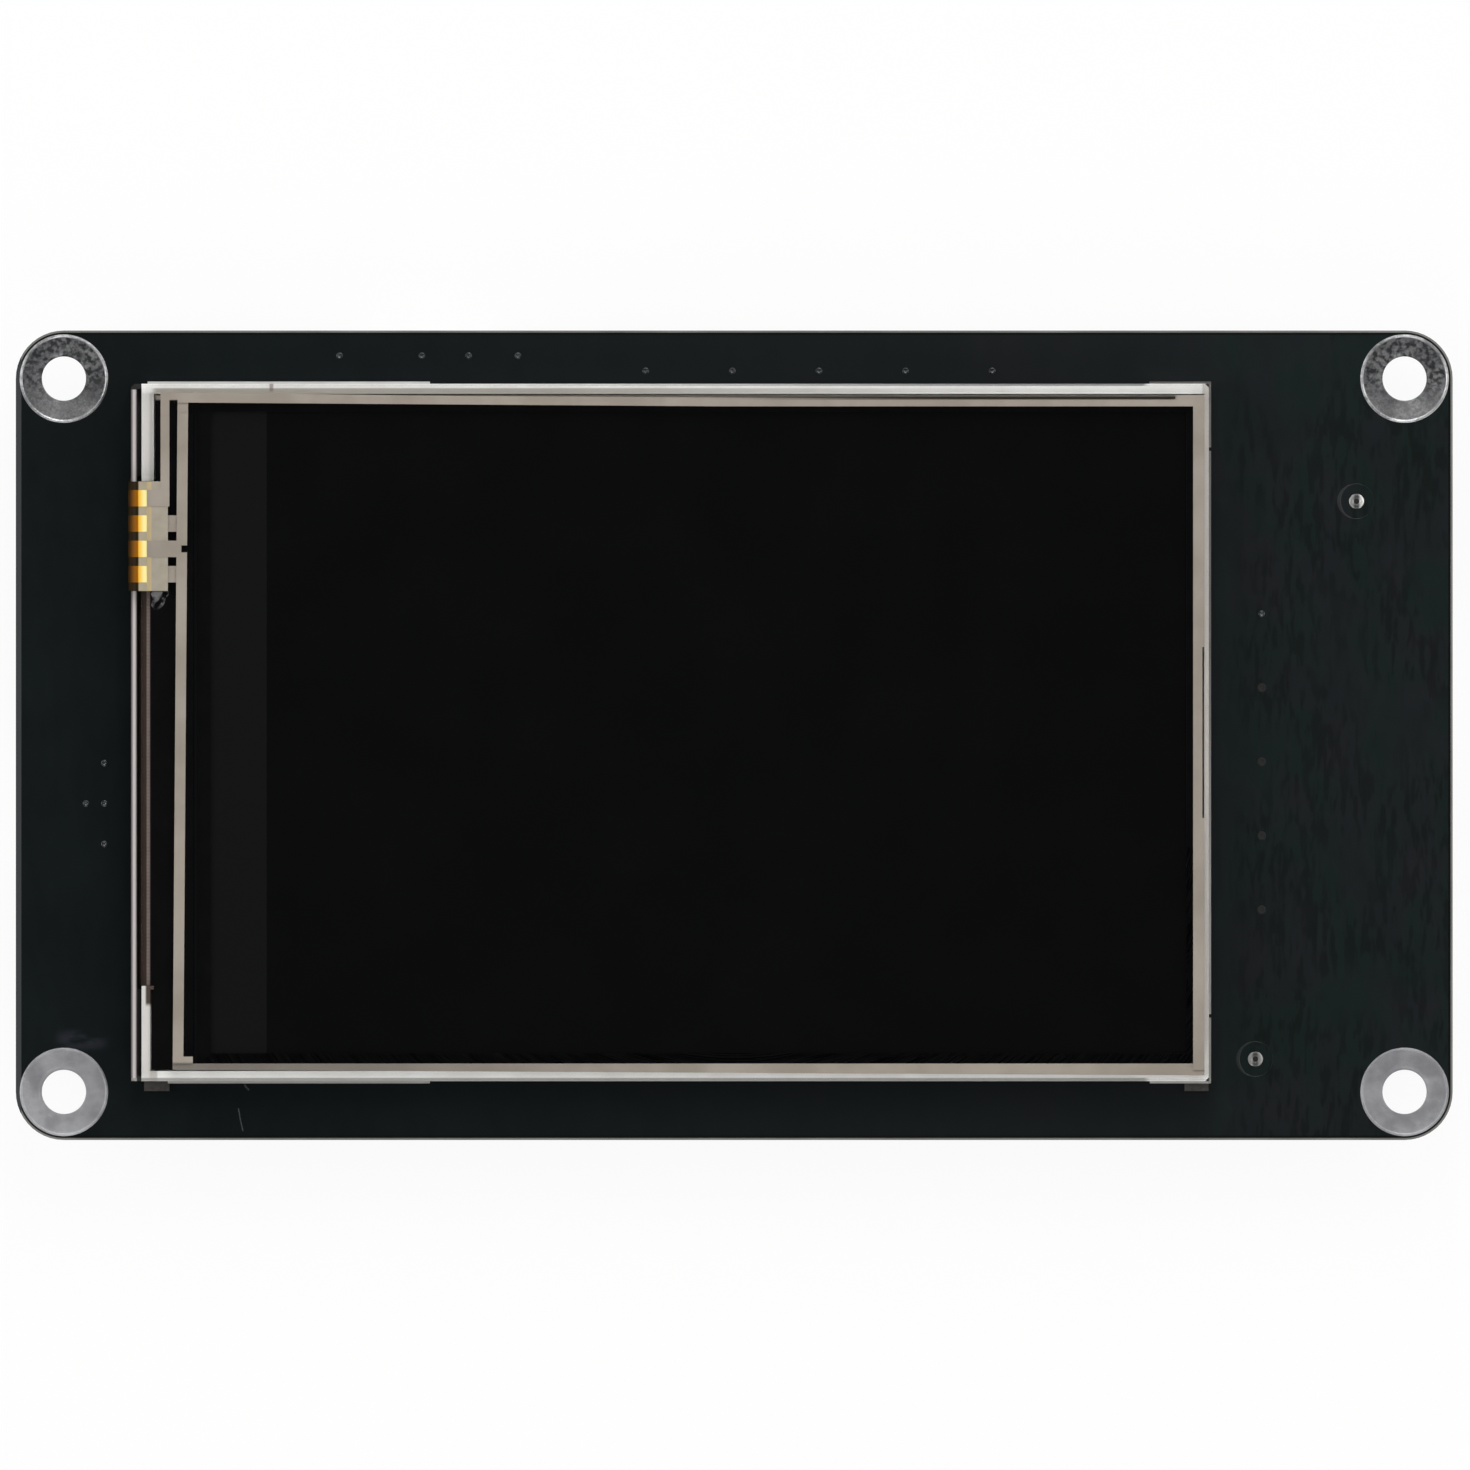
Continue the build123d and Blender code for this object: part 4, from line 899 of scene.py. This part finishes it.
tail_line = [(-44.735, 5.35), (-47.805, 5.35), (-47.805, 1.68), (-43.055, 1.68)]
tail = folded_strip(tail_line, (0.75, 0.25), 0.1, 8.65, TAIL_Y)
piece("touch_tail_strip", [tail], "amber_flex", ["touch_tail"])
track_line = [(-46.395, 5.415), (-47.87, 5.415), (-47.87, 1.615), (-43.055, 1.615)]
tracks = [folded_strip(track_line, (0.815, 0.315), 0.03, 1.3, y) for y in FINGERS_Y]
piece("tail_track_strips", tracks, "gold_track", ["tail_tracks"])
flex_line = [(-44.845, 3.83), (-47.015, 3.83), (-47.015, 1.8), (-31.065, 1.8)]
flex = folded_strip(flex_line, (0.6, 0.25), 0.1, 40.0, PANEL_Y)
piece("display_flex_strip", [flex], "brown_flex", ["display_flex"])


def end_lug(start, end):
    """An eased end of the frame's inner wall: a four-cornered outline, drawn in by an arc at the top."""
    left, right, foot, top, ease = -46.82, -45.85, 3.96, 4.3, 0.04
    loop = np.array([(left, start), (right, start), (right, end), (left, end)])
    edge = [(0.0, foot)]
    for a in np.linspace(0, np.pi / 2, 4):
        edge.append((ease * (1 - np.cos(a)), top - ease * (1 - np.sin(a))))
    return stacked([level(moved_in(loop, s), z) for s, z in edge])


lugs = [end_lug(20.06, 20.53), end_lug(-20.09, -19.8)]
piece("wall_end_lugs", lugs, "white_moulding")


def glue_smear():
    """A thin smear under the tail: a patch narrowing downwards, its edges and thickness uneven."""
    s, t = np.meshgrid(np.linspace(0, 1, 26), np.linspace(-1, 1, 18), indexing="ij")
    half = 0.72 * (1 - s) ** 0.4 * (1 + 0.25 * mottle(s * 3, s, 5, 1.2)) + 0.02
    x = -45.3 - 0.4 * s + half * t
    y = 11.36 - 1.5 * s
    skin = 0.03 * np.clip(1 - t * t, 0, 1) * (1.2 + 0.5 * mottle(x, y, 8, 0.4))
    foot = 4.165
    upper = np.stack([x, y, foot + skin], -1)
    lower = np.stack([x, y, foot + 0 * skin], -1)
    ends = [np.stack([upper[i], lower[i]]) for i in (0, -1)]
    return shell([upper, lower, *ends])


piece("tail_glue", [glue_smear()], "glue")


# Rear of the board


def can(x, y):
    """A drawn can: a rolled groove as a bell-shaped dip, a rounded shoulder and a scored end."""
    d = np.linspace(1.05, 4.95, 40)
    side_r = 2.5 - 0.25 * np.exp(-(((d - 1.8) / 0.17) ** 2))
    a = np.linspace(0, np.pi / 2, 8)[1:]
    shoulder_r, shoulder_d = 2.15 + 0.35 * np.cos(a), 4.95 + 0.35 * np.sin(a)
    end_r = np.linspace(2.15, 0, 26)[1:]
    r = np.concatenate([[0, 2.35, 2.45], side_r, shoulder_r, end_r])
    depth = np.concatenate([[0.9, 0.9, 0.95], d, shoulder_d, np.full(25, 5.3)])

    def score(px, py, pr):
        u, v = px - x, py - y
        across = np.exp(-((v / 0.09) ** 2))
        down = np.exp(-((u / 0.09) ** 2)) * (v < 0)
        on_end = (pr < 1.85) & (np.arange(len(r))[:, None] > 20)
        return 0.06 * np.maximum(across, down) * on_end

    return shell([turned(r, -depth, x, y, 72, score)])


can_shells = [can(x, y) for x, y in CANS]
piece("capacitor_can_shells", can_shells, "can_metal", ["capacitor_cans"], 30)

SIDES = ((1, 0), (0, 1), (-1, 0), (0, -1))
PROCESSOR = (-4.0, -3.0)
FLASH = (15.0, 4.0)
TOUCH_CHIP = (-28.0, 11.0)
REGULATOR = (-36.0, -10.0)
INDUCTOR = (-36.0, 1.5)
RECTIFIER = (-27.5, 1.5)
CRYSTAL = (-4.0, 8.5)
CARD_SOCKET = (49.2, 3.0)
LEFT_HEADER_Y, RIGHT_HEADER_Y, UPPER_HEADER_X = -5.4, -15.0, -24.0
CHIP_CAPS = [(-13.1 + 2.6 * i, -15.0, 0.55) for i in range(7)]
CHIP_RESISTORS = [(10.0 + 2.6 * i, -6.0, 0.35) for i in range(6)]


def lead_feet(at, reach, count, pitch, sides):
    """Middles of the lead feet of a package, with the direction each lead points in."""
    feet = []
    for dx, dy in sides:
        for i in range(count):
            s = (i - (count - 1) / 2) * pitch
            feet.append((at[0] + dx * reach - dy * s, at[1] + dy * reach + dx * s, dx, dy))
    return feet


def fillet(x, y, a, b, height, bend=1.4, steps=12):
    """Solder drawn up from an oval foot on the rear face."""
    return dome(x, y, a, b, height, 0, -1, bend, steps)


def track(points, width=0.25):
    """A copper track under the mask of the rear face."""
    return ridge(points, width, 0.03, 0, -1)


def printed(points):
    """A printed line on the rear face."""
    return ridge(points, 0.16, 0.015, 0, -1)


processor_feet = lead_feet(PROCESSOR, 5.85, 11, 0.8, SIDES)
small_feet = lead_feet(FLASH, 3.5, 4, 1.27, SIDES[1::2]) + lead_feet(TOUCH_CHIP, 3.05, 8, 0.65, SIDES[1::2])
pins = [(i - 1.5) * 2.0 for i in range(4)]
pin_feet = [(-47.8, LEFT_HEADER_Y + s, 1, 0) for s in pins]
pin_feet += [(47.8, RIGHT_HEADER_Y + s, -1, 0) for s in pins]
pin_feet += [(UPPER_HEADER_X + s, 23.0, 0, -1) for s in pins]
tab_rows = [(-54.0, LEFT_HEADER_Y, 1, 0), (54.0, RIGHT_HEADER_Y, 1, 0), (UPPER_HEADER_X, 29.2, 0, 1)]

solder = []
for x, y, dx, dy in processor_feet:
    solder.append(fillet(x + 0.12 * dx, y + 0.12 * dy, 0.24 + 0.14 * abs(dx), 0.24 + 0.14 * abs(dy), 0.12))
for x, y, dx, dy in small_feet:
    solder.append(fillet(x, y + 0.1 * dy, 0.26, 0.42, 0.12))
for s in (-2.3, 0, 2.3):
    solder.append(fillet(REGULATOR[0] + s, REGULATOR[1] + 2.65, 0.6, 0.55, 0.14, steps=14))
for s in (-1, 1):
    solder.append(fillet(REGULATOR[0], REGULATOR[1] + s * 2.65, 1.8, 0.6, 0.14, steps=20))
for x, y, height in CHIP_CAPS + CHIP_RESISTORS:
    solder += [fillet(x, y + s * 1.12, 0.72, 0.5, height, 1.6, 16) for s in (-1, 1)]
for s in (-1, 1):
    solder.append(fillet(INDUCTOR[0] + s * 3.1, INDUCTOR[1], 1.0, 1.4, 0.2, 1.5, 18))
    solder.append(fillet(RECTIFIER[0] + s * 2.7, RECTIFIER[1], 0.9, 1.0, 0.3, 1.5, 18))
    solder += [fillet(x + s * 2.75, y, 0.6, 0.7, 0.25, 1.5, 16) for x, y in CANS]
    solder += [fillet(CRYSTAL[0] + s * 2.4, CRYSTAL[1] + t * 1.1, 0.5, 0.9, 0.2, 1.5, 16) for t in (-1, 1)]
for i in range(8):
    solder.append(fillet(41.3, CARD_SOCKET[1] + (i - 3.5) * 1.1, 0.6, 0.36, 0.15, steps=14))
for x, y, dx, dy in pin_feet:
    solder.append(fillet(x, y, 0.45 + 0.5 * abs(dx), 0.45 + 0.5 * abs(dy), 0.4, 1.6, 18))
for x, y, dx, dy in tab_rows:
    for s in (-5.55, 5.55):
        solder.append(fillet(x + s * dy, y + s * dx, 0.9 + 0.9 * dx, 0.9 + 0.9 * dy, 0.3, 1.6, 20))
piece("rear_solder", solder, "tinned_copper", (), 60)

copper, vias = [], []
for k, (x, y, dx, dy) in enumerate(processor_feet):
    run = 1.0 + 0.75 * (k % 3)
    end = (x + dx * run, y + dy * run)
    copper.append(track([(x, y), end], 0.26))
    vias.append(end)
for i, (x, _, _) in enumerate(CHIP_RESISTORS):
    y = -2.6 + 0.5 * i
    copper.append(track([(3.6, y), (x - 0.8, y), (x, y - 0.8), (x, -4.9)]))
    out, turn, end = -8.0 - 0.5 * (5 - i), 35.5 - 0.5 * i, -0.85 + 1.1 * i
    line = [(x, -7.1), (x, out + 0.5), (x + 0.5, out), (turn - 0.8, out), (turn, out + 0.8)]
    line += [(turn, end - 0.6), (turn + 0.6, end), (41.0, end)]
    copper.append(track(line))
for x, y, dx, dy in pin_feet:
    end = (x + dx * 3.0, y + dy * 3.0)
    copper.append(track([(x, y), end], 0.5))
    vias.append(end)
for x, y, _ in CHIP_CAPS:
    for near, far in ((1.1, 2.4), (-1.1, -2.6)):
        copper.append(track([(x, y + near), (x, y + far)], 0.5))
        vias.append((x, y + far))
copper.append(track([(-32.5, 1.5), (-30.4, 1.5)], 1.8))
copper.append(track([(-24.6, 1.5), (-21.0, 1.5), (-18.0, -1.5), (-18.0, -9.0)], 1.2))
supply = [(-39.5, 1.5), (-43.0, 1.5), (-44.0, 0.5), (-44.0, -16.0), (-42.0, -18.5), (-41.2, -18.5)]
copper.append(track(supply, 1.2))
copper.append(track([(-36.0, -12.7), (-36.0, -14.5), (-34.7, -15.8), (-34.7, -18.5)], 1.4))
copper.append(track([(-27.5, -18.5), (-20.0, -18.5), (-17.6, -16.1), (-13.4, -16.1)], 0.9))
for i in range(8):
    x, step = TOUCH_CHIP[0] + (i - 3.5) * 0.65, 0.35 * (i % 2)
    end = (x + (i - 3.5) * 0.5, 16.6 + step)
    copper.append(track([(x, 14.1), (x, 15.2 + step), end], 0.22))
    vias.append(end)
for i in range(4):
    x, y = FLASH[0] + (i - 1.5) * 1.27, 10.2 + 0.5 * i
    end = (-0.6 + 0.6 * i, y)
    copper.append(track([(x, 7.6), (x, y - 1.2), (x - 1.2, y), end]))
    vias.append(end)
piece("rear_tracks", copper, "raised_mask")
rear_vias = [via_ring(x, y, 0, -1, 0.34, 0.14) for x, y in vias + bare_vias + covered_vias]
piece("rear_vias", rear_vias, "tinned_copper")


def printed_box(x, y, w, h):
    """A printed box line round a component, kept inside the edge of the board."""
    w, h = w / 2 + 0.3, h / 2 + 0.3
    most = np.array(BOARD_HALF) - 0.12
    loop = [(x - w, y), (x - w, y - h), (x + w, y - h), (x + w, y + h), (x - w, y + h), (x - w, y)]
    return printed(np.clip(loop, -most, most))


BOXED = [
    (FLASH, 5.2, 7.6), (TOUCH_CHIP, 5.0, 6.6), (REGULATOR, 6.5, 6.0), (CRYSTAL, 5.0, 3.2),
    (INDUCTOR, 7.4, 6.0), (RECTIFIER, 7.2, 2.6), ((-5.3, -15.0), 17.6, 3.4), ((16.5, -6.0), 15.0, 3.4),
    ((-52.7, LEFT_HEADER_Y), 7.6, 12.6), ((52.7, RIGHT_HEADER_Y), 7.6, 12.6),
    ((UPPER_HEADER_X, 27.9), 12.6, 7.6), (CARD_SOCKET, 14.6, 14.0),
]
BOXED += [(at, 6.8, 5.3) for at in CANS]
legend = [printed_box(*at, w, h) for at, w, h in BOXED]
for i, j in ((-1, -1), (-1, 1), (1, -1), (1, 1)):
    x, y = PROCESSOR[0] + 5.25 * i, PROCESSOR[1] + 5.25 * j
    legend.append(printed([(x - 0.9 * i, y), (x, y), (x, y - 0.9 * j)]))
legend += [dome(x, y, 0.3, 0.3, 0.015, 0, -1) for x, y in ((-9.9, 3.0), (11.6, 8.3), (-31.4, 14.6))]
piece("rear_legend", legend, "legend_ink")


# Studio


def lamp(name, place, size, power):
    """A square soft lamp aimed at the middle of the module."""
    data = bpy.data.lights.new(name, "AREA")
    data.size = size
    data.energy = power
    made = bpy.data.objects.new(name, data)
    made.location = place
    made.rotation_mode = "QUATERNION"
    made.rotation_quaternion = (-made.location).to_track_quat("-Z", "Y")
    bpy.context.scene.collection.objects.link(made)
    return made


lamp("lamp_top", (0.05, 0.42, 0.42), 0.34, 1.75)
lamp("lamp_left", (-0.46, 0.05, 0.4), 0.34, 1.3)
lamp("lamp_right", (0.46, 0.08, 0.42), 0.34, 0.95)
lamp("lamp_low", (0.0, -0.44, 0.42), 0.34, 1.05)
below = [
    lamp("lamp_under", (0.12, -0.2, -0.58), 0.5, 1.9),
    lamp("lamp_under_back", (-0.3, 0.3, -0.45), 0.34, 1.0),
]

world = bpy.data.worlds.new("studio")
world.use_nodes = True
bpy.context.scene.world = world
sky = Tree(world.node_tree)
height = sky.parts(sky.node("ShaderNodeTexCoord", output="Generated"))[2]
seen = sky.node("ShaderNodeLightPath", output="Is Camera Ray")
glow = (0.012 + 0.85 * sky.rise(height, 0.78, 0.12)).at_least(seen)
backdrop = world.node_tree.nodes["Background"]
sky.put(backdrop.inputs["Color"], (1, 1, 1, 1))
sky.put(backdrop.inputs["Strength"], glow)

floor_z = cad_box[0][2]
reach = 3.0
corners = [(i * reach, j * reach, floor_z) for i, j in ((-1, -1), (1, -1), (1, 1), (-1, 1))]
floor_mesh = bpy.data.meshes.new("floor")
floor_mesh.from_pydata(corners, [], [[0, 1, 2, 3]])
floor = bpy.data.objects.new("floor", floor_mesh)
bpy.context.scene.collection.objects.link(floor)
paper = Finish("floor_paper")
views = ("Is Camera Ray", "Is Glossy Ray", "Is Transmission Ray")
rays = [paper.node("ShaderNodeLightPath", output=name) for name in views]
shown = rays[0].at_least(rays[1]).at_least(rays[2]) * 0.92
white = paper.node("ShaderNodeEmission", {}, {"Color": (1, 1, 1, 1), "Strength": 1.0})
matte = paper.node("ShaderNodeBsdfDiffuse", {}, {"Color": (0.88, 0.88, 0.88, 1)})
lit = paper.node("ShaderNodeMixShader", {}, {0: shown, 1: matte, 2: white})
behind = paper.node("ShaderNodeNewGeometry", output="Backfacing")
clear = paper.node("ShaderNodeBsdfTransparent")
surface = paper.node("ShaderNodeMixShader", {}, {0: behind, 1: lit, 2: clear})
paper.put(paper.tree.nodes["Material Output"].inputs["Surface"], surface)
floor_mesh.materials.append(paper.material)

# The lamps below show the rear: the floor casts no shadow from them.
blockers = bpy.data.collections.new("module_pieces")
for thing in bpy.context.scene.objects:
    if thing.type == "MESH" and thing is not floor:
        blockers.objects.link(thing)
for light in below:
    light.light_linking.blocker_collection = blockers

DISTANCE = 4.0
PHOTO_WIDTH = 0.11622
SENSOR = 36.0
camera_data = bpy.data.cameras.new("camera")
camera = bpy.data.objects.new("camera", camera_data)
bpy.context.scene.collection.objects.link(camera)
bpy.context.scene.camera = camera
camera.location = (0.00006, 0.00002, DISTANCE + BOARD_TOP * MM)
camera_data.sensor_width = SENSOR
camera_data.lens = SENSOR * DISTANCE / PHOTO_WIDTH
camera_data.clip_start = 0.1
camera_data.clip_end = 20.0
camera_data.dof.use_dof = False
bpy.context.scene.view_settings.view_transform = "Standard"
